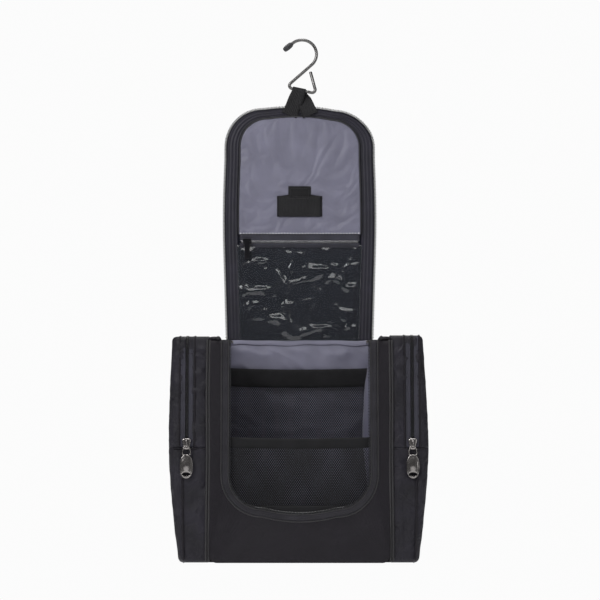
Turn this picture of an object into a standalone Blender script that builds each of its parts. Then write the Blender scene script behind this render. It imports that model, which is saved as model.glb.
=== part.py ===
"""Hanging toiletry bag: a zipped organiser that opens upward and hangs from a swivelling wire hook.

Frame: origin at the inner top of the hook's bow, +X to the user's right, +Y towards the wall, +Z up.
The bag is shown hung up and opened: the lid stands above the body, in line with the back panel.
"""
import math

import bmesh
import bpy
from mathutils import Matrix, Vector

MM = 0.001

# Clearances
GAP = 0.3 * MM
RUN = 0.5 * MM

# Hook
WIRE_D = 3.0 * MM
BOW_INNER_R = 14.8 * MM
TIP_ANGLE = math.radians(130.0)
TIP_LENGTH = 11.0 * MM
SLEEVE_D = 6.6 * MM
SLEEVE_L = 12.5 * MM
SLEEVE_CAP = 1.2 * MM
BAR_DROP = 56.3 * MM
BAR_SLOPE = math.radians(11.9)
BAR_LEFT = 17.9 * MM
BAR_RIGHT = 16.1 * MM
HOOK_BEND_R = 3.4 * MM
FREE_END_L = 25.0 * MM
FREE_END_LEAN = math.radians(15.0)

# Webbing loop between hook and lid
BAG_X = -2.6 * MM
WEBBING_T = 1.2 * MM
LOOP_TOP_W = 16.0 * MM
LOOP_FOOT_W = 31.0 * MM
LOOP_DROP = 19.7 * MM
LOOP_FOOT_GAP = 3.2 * MM
STRAP_END_L = 11.0 * MM

# Lid: front flap above, top panel below
SHELL_T = 2.0 * MM
LINING_T = 1.7 * MM
FLAP_L = 183.5 * MM
LID_CORNER_R = 42.0 * MM
LID_CROWN = 5.0 * MM
LID_BORDER_W = 15.0 * MM
LID_TOP_BORDER_W = 11.0 * MM
LID_HINGE_W = 158.0 * MM
COIL_R = 0.8 * MM

# Keeper for the stowed hook
PATCH_W = 48.0 * MM
PATCH_H = 23.0 * MM
PATCH_T = 0.8 * MM
KEEPER_T = 1.3 * MM
KEEPER_NECK_W = 25.0 * MM
KEEPER_NECK_H = 11.0 * MM
KEEPER_DROP = 89.0 * MM

# Clear pocket in the lid
POCKET_DROP = 142.5 * MM
POCKET_TAPE_H = 15.0 * MM
POCKET_COIL_DROP = 9.0 * MM
POCKET_SLIDER_TRAVEL = 116.0 * MM
WINDOW_T = 0.8 * MM
WINDOW_EDGE = 3.2 * MM
WINDOW_INSET = 2.0 * MM

# Body
BODY_DEPTH = 80.0 * MM
BODY_H = 237.5 * MM
CENTRE_W = 191.0 * MM
WALL_T = 3.0 * MM
BACK_T = 3.5 * MM
CLOTH_T = 1.0 * MM
BODY_CORNER_R = 6.0 * MM

# Main zip round the body's mouth
OPEN_W = 149.0 * MM
OPEN_H = 187.0 * MM
OPEN_CORNER_R = 36.0 * MM
MOUTH_STEP = 2.5 * MM
TAPE_W = 7.0 * MM
TAPE_T = 0.6 * MM
TOP_TAPE_W = 9.0 * MM
MAIN_SLIDER_L = 12.0 * MM
MAIN_SLIDER_W = 8.0 * MM
MAIN_SLIDER_T = 2.6 * MM
MAIN_PULL_L = 17.0 * MM
MAIN_PULL_W = 6.0 * MM
MAIN_PULL_T = 1.2 * MM
MAIN_PULL_GAP = 1.5 * MM
MAIN_END = 6.0 * MM

# Mesh walls
MESH_T = 0.8 * MM
BAND_T = 1.2 * MM
FRONT_BAND_DROP = 106.0 * MM
FRONT_BAND_H = 11.0 * MM
HEM_H = 9.0 * MM
BACK_BAND_DROP = 27.5 * MM
BACK_BAND_H = 20.0 * MM
BACK_POCKET_D = 6.0 * MM
BINDING_H = 6.0 * MM

# Side pockets
POCKET_WALL = 2.0 * MM
POCKET_TOP_W = 34.5 * MM
POCKET_SEAM_W = 40.2 * MM
POCKET_BASE_W = 28.5 * MM
POCKET_CORNER_R = 12.0 * MM
POCKET_INNER_STRIP = 21.8 * MM
POCKET_COIL_R = 1.0 * MM
SEAM_DROP = 117.5 * MM
POCKET_TOP_DROP = 1.5 * MM
PIPING_R = 1.5 * MM

# Side zip sliders and pulls
SLIDER_W = 9.0 * MM
SLIDER_H = 12.0 * MM
SLIDER_T = 2.4 * MM
BRIDGE_W = 2.6 * MM
BRIDGE_T = 1.0 * MM
LINK_WIRE_D = 1.3 * MM
LINK_H = 10.0 * MM
LINK_TOP_W = 7.0 * MM
LINK_FOOT_W = 10.0 * MM
PULL_W = 13.5 * MM
PULL_H = 26.0 * MM
PULL_T = 1.6 * MM
PULL_HOLE_R = 1.6 * MM

# Pocket zip slider
SMALL_SLIDER_W = 9.0 * MM
SMALL_SLIDER_H = 6.5 * MM
SMALL_SLIDER_T = 2.2 * MM
SMALL_PULL_L = 20.0 * MM
SMALL_PULL_W = 5.5 * MM
SMALL_PULL_T = 1.2 * MM

# Derived heights and depths
WIRE_R = WIRE_D / 2.0
BOW_R = BOW_INNER_R + WIRE_R
BOW_Z = -BOW_INNER_R
FLAP_W = OPEN_W + 2.0 * TAPE_W
LID_TOP_Z = -BAR_DROP - LOOP_DROP
FOLD_Z = LID_TOP_Z - FLAP_L
HINGE_Z = FOLD_Z - BODY_DEPTH
LID_FACE_Y = -SHELL_T
AXIS_Y = LID_FACE_Y - GAP
LID_BACK_Y = SHELL_T
FRONT_Y = AXIS_Y - BODY_DEPTH
TAPE_FRONT_Y = FRONT_Y
PANEL_FRONT_Y = TAPE_FRONT_Y + TAPE_T + GAP
PANEL_BACK_Y = PANEL_FRONT_Y + WALL_T
BACK_FACE_Y = LID_BACK_Y - BACK_T
LINING_BACK_Y = BACK_FACE_Y - GAP
LINING_FACE_Y = LINING_BACK_Y - CLOTH_T
BODY_TOP_Z = HINGE_Z - GAP
BASE_Z = HINGE_Z - BODY_H
FLOOR_Z = BASE_Z + WALL_T
TOP_COIL_Z = HINGE_Z - MAIN_SLIDER_T - 2.0 * GAP
TOP_TAPE_Z = TOP_COIL_Z - GAP
STRIP_TOP_Z = TOP_TAPE_Z - TAPE_T - GAP
OPEN_HALF = OPEN_W / 2.0
MOUTH_HALF = OPEN_HALF + MOUTH_STEP
OPEN_BASE_Z = HINGE_Z - OPEN_H
CENTRE_HALF = CENTRE_W / 2.0
POCKET_IN_X = CENTRE_HALF + GAP
SEAM_Z = HINGE_Z - SEAM_DROP
POCKET_TOP_Z = HINGE_Z - POCKET_TOP_DROP
POCKET_FRONT_Y = PANEL_BACK_Y - GAP
POCKET_BACK_Y = LID_BACK_Y - 1.0 * MM
PIPING_X = CENTRE_HALF + 0.8 * MM
PIPING_Y = POCKET_FRONT_Y - GAP - PIPING_R
FRONT_HALF = PIPING_X - PIPING_R - GAP

collection = bpy.data.collections.new("hanging_toiletry_bag")
cutters = bpy.data.collections.new("cutters")

COLOURS = {
    "steel_wire": ((0.34, 0.34, 0.36), 0.28, 1.0),
    "grip_rubber": ((0.03, 0.03, 0.03), 0.65, 0.0),
    "webbing_black": ((0.025, 0.024, 0.026), 0.85, 0.0),
    "shell_black": ((0.028, 0.026, 0.03), 0.8, 0.0),
    "lining_grey": ((0.22, 0.21, 0.26), 0.7, 0.0),
    "zip_black": ((0.02, 0.02, 0.022), 0.6, 0.0),
    "coil_black": ((0.05, 0.05, 0.055), 0.35, 0.0),
    "patch_black": ((0.03, 0.03, 0.034), 0.95, 0.0),
    "window_clear": ((0.75, 0.77, 0.8), 0.12, 0.0),
    "mesh_black": ((0.03, 0.03, 0.03), 0.7, 0.0),
    "elastic_black": ((0.022, 0.022, 0.024), 0.75, 0.0),
    "piping_black": ((0.03, 0.03, 0.032), 0.5, 0.0),
    "slider_metal": ((0.25, 0.25, 0.27), 0.3, 1.0),
    "pull_metal": ((0.22, 0.22, 0.24), 0.25, 1.0),
}


def clear_scene():
    for obj in list(bpy.data.objects):
        bpy.data.objects.remove(obj, do_unlink=True)
    bpy.context.scene.collection.children.link(collection)
    bpy.context.scene.collection.children.link(cutters)


def material(slot):
    found = bpy.data.materials.get(slot)
    if found:
        return found
    colour, roughness, metallic = COLOURS[slot]
    made = bpy.data.materials.new(slot)
    made.use_nodes = True
    shader = made.node_tree.nodes["Principled BSDF"]
    shader.inputs["Base Color"].default_value = (*colour, 1.0)
    shader.inputs["Roughness"].default_value = roughness
    shader.inputs["Metallic"].default_value = metallic
    return made


PIVOTS = {}


def pivot(name, place, parent=None):
    """An empty on a joint's axis, which carries the pieces that turn or slide with it."""
    empty = bpy.data.objects.new(name, None)
    empty.empty_display_size = 0.01
    collection.objects.link(empty)
    empty.location = place
    PIVOTS[name] = Vector(place)
    attach(empty, parent)
    return name


def attach(obj, parent):
    if parent is None:
        return
    obj.parent = bpy.data.objects[parent]
    obj.matrix_parent_inverse = Matrix.Translation(-PIVOTS[parent])


def place_object(name, data, slot, parent, location=(0.0, 0.0, 0.0), rotation=(0.0, 0.0, 0.0)):
    obj = bpy.data.objects.new(name, data)
    collection.objects.link(obj)
    obj.location = location
    obj.rotation_euler = rotation
    data.materials.append(material(slot))
    attach(obj, parent)
    return obj


def as_cutter(obj):
    collection.objects.unlink(obj)
    cutters.objects.link(obj)
    obj.hide_render = True
    obj.display_type = "WIRE"
    return obj


def box(name, slot, x, y, z, parent=None, bevel=0.0, lift=0.0):
    """A box between two limits on each axis, with optional rounded edges."""
    mesh = bpy.data.meshes.new(name)
    bm = bmesh.new()
    bmesh.ops.create_cube(bm, size=1.0)
    size = Vector((abs(x[1] - x[0]), abs(y[1] - y[0]), abs(z[1] - z[0])))
    bmesh.ops.scale(bm, vec=size, verts=bm.verts)
    bm.to_mesh(mesh)
    bm.free()
    centre = ((x[0] + x[1]) / 2.0, (y[0] + y[1]) / 2.0, (z[0] + z[1]) / 2.0 + lift)
    obj = place_object(name, mesh, slot, parent, centre)
    if bevel > 0.0:
        rounding = obj.modifiers.new("rounded", "BEVEL")
        rounding.width = bevel
        rounding.segments = 2
    return obj


def side_box(name, slot, side, x, y, z, parent=None, bevel=0.0):
    """A box on the left (side -1) or right (side +1) of the bag's centre plane."""
    low, high = sorted((BAG_X + side * x[0], BAG_X + side * x[1]))
    return box(name, slot, (low, high), y, z, parent, bevel)


def plate(name, slot, outline, y, parent=None):
    """A flat outline in the XZ plane, given thickness between two depths."""
    curve = bpy.data.curves.new(name, "CURVE")
    curve.dimensions = "2D"
    curve.fill_mode = "BOTH"
    curve.extrude = (y[1] - y[0]) / 2.0
    spline = curve.splines.new("POLY")
    spline.points.add(len(outline) - 1)
    for point, (px, pz) in zip(spline.points, outline):
        point.co = (px, pz, 0.0, 1.0)
    spline.use_cyclic_u = True
    middle = (y[0] + y[1]) / 2.0
    return place_object(name, curve, slot, parent, (0.0, middle, 0.0), (math.pi / 2.0, 0.0, 0.0))


def profile_plate(name, slot, outline, x, parent=None):
    """A flat outline in the YZ plane, given thickness between two X limits."""
    low, high = sorted(x)
    curve = bpy.data.curves.new(name, "CURVE")
    curve.dimensions = "2D"
    curve.fill_mode = "BOTH"
    curve.extrude = (high - low) / 2.0
    spline = curve.splines.new("POLY")
    spline.points.add(len(outline) - 1)
    for point, (py, pz) in zip(spline.points, outline):
        point.co = (py, pz, 0.0, 1.0)
    spline.use_cyclic_u = True
    turn = (math.pi / 2.0, 0.0, math.pi / 2.0)
    return place_object(name, curve, slot, parent, ((low + high) / 2.0, 0.0, 0.0), turn)


def tube(name, slot, points, radius, parent=None, closed=False):
    """A round wire, cord or coil along a line of points."""
    curve = bpy.data.curves.new(name, "CURVE")
    curve.dimensions = "3D"
    curve.bevel_depth = radius
    curve.bevel_resolution = 2
    curve.use_fill_caps = True
    spline = curve.splines.new("POLY")
    spline.points.add(len(points) - 1)
    for point, place in zip(spline.points, points):
        point.co = (*place, 1.0)
    spline.use_cyclic_u = closed
    return place_object(name, curve, slot, parent)


def to_mesh(obj):
    """Turn a curve object into a welded mesh object of the same name."""
    bpy.context.view_layer.update()
    graph = bpy.context.evaluated_depsgraph_get()
    mesh = bpy.data.meshes.new_from_object(obj.evaluated_get(graph))
    bm = bmesh.new()
    bm.from_mesh(mesh)
    bmesh.ops.remove_doubles(bm, verts=bm.verts, dist=0.00001)
    bm.to_mesh(mesh)
    bm.free()
    name = obj.name
    matrix = obj.matrix_world.copy()
    parent = obj.parent
    bpy.data.objects.remove(obj, do_unlink=True)
    made = bpy.data.objects.new(name, mesh)
    collection.objects.link(made)
    made.matrix_world = matrix
    if parent is not None:
        made.parent = parent
        made.matrix_parent_inverse = Matrix.Translation(-PIVOTS[parent.name])
    return made


def combine(obj, other, operation):
    """Join or cut a mesh with another object, which becomes a hidden cutter."""
    as_cutter(other)
    step = obj.modifiers.new(operation.lower(), "BOOLEAN")
    step.operation = operation
    step.solver = "EXACT"
    step.object = other
    return obj


def arch(half, low, top, radius, crown, steps=7):
    """Points up the left side, over a rounded and slightly crowned top, and down the right side."""
    centre_x = half - radius
    centre_z = top - crown - radius
    right = []
    for i in range(steps + 1):
        angle = math.pi / 2.0 * i / steps
        right.append((centre_x + radius * math.cos(angle), centre_z + radius * math.sin(angle)))
    for i in range(1, 4):
        share = 1.0 - i / 3.0
        right.append((centre_x * share, top - crown * share * share))
    left = [(-px, pz) for px, pz in reversed(right[:-1])]
    points = [(half, low)] + right + left + [(-half, low)]
    return [(BAG_X + px, pz) for px, pz in reversed(points)]


def upside_down(points, level):
    return [(px, 2.0 * level - pz) for px, pz in points]


def rounded_path(points, radius, steps=5):
    """A path in the XZ plane with each inner corner replaced by an arc."""
    made = [points[0]]
    for before, corner, after in zip(points, points[1:], points[2:]):
        to_before = (Vector(before) - Vector(corner)).normalized()
        to_after = (Vector(after) - Vector(corner)).normalized()
        half_angle = to_before.angle(to_after) / 2.0
        reach = radius / math.tan(half_angle)
        middle = (to_before + to_after).normalized() * (radius / math.sin(half_angle))
        centre = Vector(corner) + middle
        start = Vector(corner) + to_before * reach - centre
        end = Vector(corner) + to_after * reach - centre
        turn = start.angle(end)
        for i in range(steps + 1):
            share = i / steps
            arc = start * math.sin((1.0 - share) * turn) + end * math.sin(share * turn)
            made.append(tuple(centre + arc / math.sin(turn)))
    made.append(points[-1])
    return made


def bar_z(px):
    return -BAR_DROP - math.tan(BAR_SLOPE) * px


def make_hook():
    left = Vector((-BAR_LEFT, bar_z(-BAR_LEFT)))
    right = Vector((BAR_RIGHT, bar_z(BAR_RIGHT)))
    centre = Vector((0.0, BOW_Z))
    away = left - centre
    leave = math.atan2(away.y, away.x) + math.acos(BOW_R / away.length)
    tangent = Vector((-math.sin(TIP_ANGLE), math.cos(TIP_ANGLE)))
    arc_start = centre + BOW_R * Vector((math.cos(TIP_ANGLE), math.sin(TIP_ANGLE)))
    path = [tuple(arc_start + tangent * TIP_LENGTH)]
    steps = 20
    for i in range(steps + 1):
        angle = TIP_ANGLE + (leave - TIP_ANGLE) * i / steps
        path.append((BOW_R * math.cos(angle), BOW_Z + BOW_R * math.sin(angle)))
    free = right + FREE_END_L * Vector((-math.sin(FREE_END_LEAN), math.cos(FREE_END_LEAN)))
    base = rounded_path([path[-1], tuple(left), tuple(right), tuple(free)], HOOK_BEND_R)
    path.extend(base[1:])
    tube("hook_wire", "steel_wire", [(px, 0.0, pz) for px, pz in path], WIRE_R)

    # Ribbed sleeve, turned round the straight tip
    inner = WIRE_R + GAP
    outer = SLEEVE_D / 2.0
    rib = 0.45 * MM
    profile = [(0.0, SLEEVE_L), (outer * 0.6, SLEEVE_L), (outer, SLEEVE_L - outer * 0.35)]
    count = 4
    pitch = (SLEEVE_L - outer * 0.7) / count
    for i in range(count):
        top = SLEEVE_L - outer * 0.5 - i * pitch
        profile.append((outer, top - pitch * 0.25))
        profile.append((outer - rib, top - pitch * 0.5))
        profile.append((outer, top - pitch * 0.75))
    profile.append((outer, 0.0))
    profile.append((inner, 0.0))
    profile.append((inner, SLEEVE_L - SLEEVE_CAP))
    profile.append((0.0, SLEEVE_L - SLEEVE_CAP))
    mesh = bpy.data.meshes.new("hook_tip")
    bm = bmesh.new()
    verts = [bm.verts.new((px, 0.0, pz)) for px, pz in profile]
    for first, second in zip(verts, verts[1:]):
        bm.edges.new((first, second))
    bm.to_mesh(mesh)
    bm.free()
    start = arc_start + tangent * GAP
    lean = math.atan2(tangent.x, tangent.y)
    sleeve = place_object("hook_tip", mesh, "grip_rubber", None, (start.x, 0.0, start.y), (0.0, lean, 0.0))
    turned = sleeve.modifiers.new("turned", "SCREW")
    turned.angle = 2.0 * math.pi
    turned.steps = 16
    turned.render_steps = 16
    turned.use_merge_vertices = True
    turned.merge_threshold = 0.00001
    sleeve.data.shade_smooth()


def make_loop(parent):
    bore = WIRE_R + GAP
    wrap = bore + WEBBING_T
    along = Vector((math.cos(BAR_SLOPE), -math.sin(BAR_SLOPE)))
    middle = Vector((BAG_X, bar_z(BAG_X)))
    left = middle - along * LOOP_TOP_W / 2.0
    right = middle + along * LOOP_TOP_W / 2.0
    foot = LID_TOP_Z + LOOP_FOOT_GAP
    outline = [
        (left.x, left.y),
        (right.x, right.y),
        (BAG_X + LOOP_FOOT_W / 2.0, foot),
        (BAG_X - LOOP_FOOT_W / 2.0, foot),
    ]
    loop = to_mesh(plate("hanging_loop", "webbing_black", outline, (-WEBBING_T, WEBBING_T), parent))
    turn = Matrix.Rotation(math.pi / 2.0 + BAR_SLOPE, 4, "Y")
    for name, radius, length, action in (
        ("loop_wrap", wrap, LOOP_TOP_W, "UNION"),
        ("loop_bore", bore, LOOP_TOP_W * 2.0, "DIFFERENCE"),
    ):
        mesh = bpy.data.meshes.new(name)
        bm = bmesh.new()
        bmesh.ops.create_cone(
            bm, cap_ends=True, segments=20, radius1=radius, radius2=radius, depth=length
        )
        bmesh.ops.transform(bm, matrix=turn, verts=bm.verts)
        bm.to_mesh(mesh)
        bm.free()
        roller = place_object(name, mesh, "webbing_black", None, (middle.x, 0.0, middle.y))
        combine(loop, roller, action)


def make_lid_front(parent):
    half = FLAP_W / 2.0
    low = FOLD_Z + GAP
    outer = arch(half, low, LID_TOP_Z, LID_CORNER_R, LID_CROWN)
    plate("lid_front_shell", "shell_black", outer, (0.0, SHELL_T), parent)
    inner_top = LID_TOP_Z - LID_TOP_BORDER_W
    inner_r = LID_CORNER_R - LID_BORDER_W * 0.75
    border = LID_BORDER_W
    band_y = (LID_FACE_Y, LID_FACE_Y + LINING_T)
    inner = arch(half - border, low, inner_top, inner_r, LID_CROWN * 0.8)
    plate("lid_front_tape", "zip_black", outer + inner[::-1], band_y, parent)
    edge = half + GAP + COIL_R
    coil_line = arch(edge, low, LID_TOP_Z + GAP + COIL_R, LID_CORNER_R + GAP + COIL_R, LID_CROWN)
    coil_y = LID_FACE_Y + COIL_R
    tube("lid_front_coil", "coil_black", [(px, coil_y, pz) for px, pz in coil_line], COIL_R, parent)

    panel_half = half - border - GAP
    split = LID_TOP_Z - POCKET_DROP
    lining = arch(panel_half, split + GAP, inner_top - GAP, inner_r - GAP, LID_CROWN * 0.8)
    plate("lid_front_lining", "lining_grey", lining, band_y, parent)
    side = (BAG_X - panel_half, BAG_X + panel_half)
    box("pocket_backing_front", "shell_black", side, band_y, (low, split), parent)

    face = LID_FACE_Y - GAP
    box(
        "strap_ends",
        "webbing_black",
        (BAG_X - LOOP_FOOT_W / 2.0, BAG_X + LOOP_FOOT_W / 2.0),
        (face - WEBBING_T, face),
        (LID_TOP_Z - STRAP_END_L, LID_TOP_Z + LOOP_FOOT_GAP - GAP),
        parent,
    )
    top = LID_TOP_Z - KEEPER_DROP - KEEPER_NECK_H
    box(
        "hook_loop_patch",
        "patch_black",
        (BAG_X - PATCH_W / 2.0, BAG_X + PATCH_W / 2.0),
        (face - PATCH_T, face),
        (top - PATCH_H, top),
        parent,
    )

    # Zip of the clear pocket
    tape_top = split
    tape = (tape_top - POCKET_TAPE_H, tape_top)
    box("pocket_zip_tape", "zip_black", side, (face - TAPE_T, face), tape, parent)
    coil_z = split - POCKET_COIL_DROP
    coil_face = face - TAPE_T - GAP
    coil_x = panel_half - 2.0 * MM
    points = [(BAG_X - coil_x, coil_face - COIL_R, coil_z), (BAG_X + coil_x, coil_face - COIL_R, coil_z)]
    tube("pocket_zip_coil", "coil_black", points, COIL_R, parent)

    window_top = tape[0] - GAP
    window_y = (face - WINDOW_T - GAP, face - GAP)
    inset = panel_half - WINDOW_INSET
    box(
        "clear_window_front",
        "window_clear",
        (BAG_X - inset, BAG_X + inset),
        window_y,
        (FOLD_Z + WINDOW_EDGE, window_top),
        parent,
    )


def make_keeper(parent):
    """Inverted T: a narrow webbing neck sewn at its top, with a wide fastening end."""
    front = LID_FACE_Y - GAP - PATCH_T - GAP
    top = LID_TOP_Z - KEEPER_DROP - GAP
    shoulder = top - KEEPER_NECK_H
    foot = shoulder - PATCH_H
    neck = KEEPER_NECK_W / 2.0
    wide = PATCH_W / 2.0 - 1.0 * MM
    half_outline = [(neck, top), (neck, shoulder), (wide, shoulder), (wide, foot)]
    outline = [(BAG_X + px, pz) for px, pz in half_outline]
    outline += [(BAG_X - px, pz) for px, pz in reversed(half_outline)]
    plate("keeper_tab", "webbing_black", outline, (front - KEEPER_T, front), parent)


def make_pocket_slider(slider_parent, pull_parent, centre_x, base_y, centre_z):
    half_w = SMALL_SLIDER_W / 2.0
    half_h = SMALL_SLIDER_H / 2.0
    front = base_y - SMALL_SLIDER_T
    box(
        "pocket_slider",
        "slider_metal",
        (centre_x - half_w, centre_x + half_w),
        (front, base_y),
        (centre_z - half_h, centre_z + half_h),
        slider_parent,
        0.5 * MM,
    )
    half_p = SMALL_PULL_W / 2.0
    box(
        "pocket_pull",
        "pull_metal",
        (centre_x - half_p, centre_x + half_p),
        (front - RUN - SMALL_PULL_T, front - RUN),
        (centre_z - SMALL_PULL_L, centre_z + SMALL_PULL_T / 2.0),
        pull_parent,
        0.4 * MM,
    )


def make_lid_top(parent):
    upper = FOLD_Z - GAP
    lower = HINGE_Z + GAP
    wide = FLAP_W / 2.0
    narrow = LID_HINGE_W / 2.0
    outline = [
        (BAG_X - narrow, lower),
        (BAG_X + narrow, lower),
        (BAG_X + wide, upper),
        (BAG_X - wide, upper),
    ]
    plate("lid_top_shell", "shell_black", outline, (0.0, SHELL_T), parent)
    panel_half = FLAP_W / 2.0 - LID_BORDER_W - GAP
    inner = panel_half + GAP
    seam = lower + 5.0 * MM
    border = outline[:2] + outline[2:3] + [
        (BAG_X + inner, upper),
        (BAG_X + inner, seam),
        (BAG_X - inner, seam),
        (BAG_X - inner, upper),
    ] + outline[3:]
    band_y = (LID_FACE_Y, LID_FACE_Y + LINING_T)
    plate("lid_top_tape", "zip_black", border, band_y, parent)
    side = (BAG_X - panel_half, BAG_X + panel_half)
    box("pocket_backing_top", "shell_black", side, band_y, (seam + GAP, upper), parent)
    offset = GAP + COIL_R
    coil_y = LID_FACE_Y + COIL_R
    for label, turn in (("left", -1.0), ("right", 1.0)):
        points = [
            (BAG_X + turn * (narrow + offset), coil_y, lower),
            (BAG_X + turn * (wide + offset), coil_y, upper),
        ]
        tube("lid_top_coil_" + label, "coil_black", points, COIL_R, parent)
    face = LID_FACE_Y - GAP
    inset = panel_half - WINDOW_INSET
    box(
        "clear_window_top",
        "window_clear",
        (BAG_X - inset, BAG_X + inset),
        (face - WINDOW_T - GAP, face - GAP),
        (HINGE_Z + WINDOW_EDGE, FOLD_Z - WINDOW_EDGE),
        parent,
    )


def make_body(parent):
    half = CENTRE_HALF
    full = (BAG_X - half, BAG_X + half)
    back = (BACK_FACE_Y, BACK_FACE_Y + BACK_T)
    box("back_panel", "shell_black", full, back, (BASE_Z, BODY_TOP_Z), parent)
    box(
        "bottom_panel",
        "shell_black",
        full,
        (PANEL_BACK_Y + GAP, LINING_BACK_Y),
        (BASE_Z, FLOOR_Z),
        parent,
    )
    inside = half - WALL_T - GAP
    box(
        "back_lining",
        "lining_grey",
        (BAG_X - inside, BAG_X + inside),
        (LINING_FACE_Y, LINING_BACK_Y),
        (FLOOR_Z + GAP, BODY_TOP_Z - GAP),
        parent,
    )
    binding = LID_HINGE_W / 2.0
    binding_back = LINING_FACE_Y - GAP
    box(
        "hinge_binding",
        "lining_grey",
        (BAG_X - binding, BAG_X + binding),
        (binding_back - CLOTH_T, binding_back),
        (BODY_TOP_Z - GAP - BINDING_H, BODY_TOP_Z - GAP),
        parent,
    )

    # Side walls of the main compartment, each with its strip along the mouth
    strip_in = MOUTH_HALF + GAP
    wall_low = FLOOR_Z + GAP
    for label, turn in (("left", -1.0), ("right", 1.0)):
        outline = [
            (BAG_X + turn * half, wall_low),
            (BAG_X + turn * half, STRIP_TOP_Z),
            (BAG_X + turn * strip_in, STRIP_TOP_Z),
            (BAG_X + turn * strip_in, STRIP_TOP_Z - WALL_T),
            (BAG_X + turn * (half - WALL_T), STRIP_TOP_Z - WALL_T),
            (BAG_X + turn * (half - WALL_T), wall_low),
        ]
        walls = (PANEL_BACK_Y + GAP, LINING_FACE_Y - GAP - CLOTH_T - GAP)
        plate("side_wall_" + label, "shell_black", outline, walls, parent)

    # Front panel round the mouth
    inner_half = OPEN_HALF + 2.0 * MM
    inner_low = OPEN_BASE_Z - 2.0 * MM
    mouth = upside_down(arch(inner_half, STRIP_TOP_Z, 2.0 * STRIP_TOP_Z - inner_low,
                             OPEN_CORNER_R + 2.0 * MM, LID_CROWN), STRIP_TOP_Z)
    r = BODY_CORNER_R
    corners = []
    for i in range(5):
        angle = math.pi / 2.0 * i / 4.0
        corners.append((FRONT_HALF - r + r * math.sin(angle), BASE_Z + r - r * math.cos(angle)))
    right_side = [(BAG_X + px, pz) for px, pz in corners]
    left_side = [(BAG_X - px, pz) for px, pz in reversed(corners)]
    outline = mouth
    outline += [(BAG_X + FRONT_HALF, STRIP_TOP_Z)] + right_side[::-1]
    outline += left_side[::-1] + [(BAG_X - FRONT_HALF, STRIP_TOP_Z)]
    plate("front_panel", "shell_black", outline, (PANEL_FRONT_Y, PANEL_BACK_Y), parent)

    # Zip tape and coil round the mouth: two runs along the top joined by a U on the front
    tape_outer = OPEN_HALF + TAPE_W
    level = TOP_TAPE_Z
    outer = upside_down(arch(tape_outer, level, 2.0 * level - OPEN_BASE_Z + TAPE_W + 2.0 * MM,
                             OPEN_CORNER_R + TAPE_W, LID_CROWN), level)
    inner = upside_down(arch(OPEN_HALF, level, 2.0 * level - OPEN_BASE_Z,
                             OPEN_CORNER_R, LID_CROWN), level)
    tape = to_mesh(plate("main_zip_tape", "zip_black", outer + inner[::-1],
                         (TAPE_FRONT_Y, TAPE_FRONT_Y + TAPE_T), parent))
    for label, turn in (("left", -1.0), ("right", 1.0)):
        run = side_box("tape_run_" + label, "zip_black", turn, (MOUTH_HALF, MOUTH_HALF + TOP_TAPE_W),
                       (TAPE_FRONT_Y, AXIS_Y - MAIN_END), (level - TAPE_T, level))
        combine(tape, run, "UNION")
    offset = GAP + COIL_R
    coil_low = OPEN_BASE_Z + offset
    coil_y = TAPE_FRONT_Y + COIL_R
    coil_z = TOP_COIL_Z - COIL_R
    front_run = upside_down(arch(OPEN_HALF - offset, coil_z - 2.0 * MM,
                                 2.0 * (coil_z - 2.0 * MM) - coil_low,
                                 OPEN_CORNER_R - offset, LID_CROWN), coil_z - 2.0 * MM)
    line = [(BAG_X - MOUTH_HALF + offset, AXIS_Y - MAIN_END, coil_z)]
    line.append((BAG_X - MOUTH_HALF + offset, coil_y + 4.0 * MM, coil_z))
    line += [(px, coil_y, pz) for px, pz in front_run]
    line.append((BAG_X + MOUTH_HALF - offset, coil_y + 4.0 * MM, coil_z))
    line.append((BAG_X + MOUTH_HALF - offset, AXIS_Y - MAIN_END, coil_z))
    tube("main_zip_coil", "coil_black", line, COIL_R, parent)

    # Piping down the two front seams
    for label, turn in (("left", -1.0), ("right", 1.0)):
        place_x = BAG_X + turn * PIPING_X
        points = [(place_x, PIPING_Y, BASE_Z + PIPING_R), (place_x, PIPING_Y, STRIP_TOP_Z)]
        tube("piping_" + label, "piping_black", points, PIPING_R, parent)


def make_mesh_walls(parent):
    face = PANEL_BACK_Y + GAP
    inside = CENTRE_HALF - WALL_T - 2.0 * GAP
    width = (BAG_X - inside, BAG_X + inside)
    band_top = HINGE_Z - FRONT_BAND_DROP
    band_low = band_top - FRONT_BAND_H
    box("front_mesh_band", "elastic_black", width, (face, face + BAND_T), (band_low, band_top), parent)
    floor = FLOOR_Z + GAP
    box("front_mesh", "mesh_black", width, (face, face + MESH_T), (floor, band_low - GAP), parent)

    hem_half = OPEN_HALF + 1.0 * MM
    hem_low = OPEN_BASE_Z - 1.0 * MM
    hem_top = OPEN_BASE_Z + HEM_H
    radius = OPEN_CORNER_R + 1.0 * MM
    points = upside_down(arch(hem_half, hem_top, 2.0 * hem_top - hem_low, radius, LID_CROWN), hem_top)
    centre_z = hem_low + LID_CROWN + radius
    cut = []
    for px, pz in points:
        if pz < hem_top - 0.1 * MM:
            cut.append((px, pz))
    reach = radius * radius - (centre_z - hem_top) ** 2
    end_x = hem_half - radius + math.sqrt(max(reach, 0.0))
    cut = [(BAG_X - end_x, hem_top)] + cut + [(BAG_X + end_x, hem_top)]
    hem_front = TAPE_FRONT_Y + 2.0 * COIL_R + GAP
    plate("front_mesh_hem", "elastic_black", cut, (hem_front, PANEL_BACK_Y), parent)

    pocket_back = LINING_FACE_Y - BACK_POCKET_D
    band_top = HINGE_Z - BACK_BAND_DROP
    band_low = band_top - BACK_BAND_H
    box("back_mesh_band", "elastic_black", width, (pocket_back - BAND_T, pocket_back),
        (band_low, band_top), parent)
    box("back_mesh", "mesh_black", width, (pocket_back - MESH_T, pocket_back),
        (floor, band_low - GAP), parent)


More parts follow.
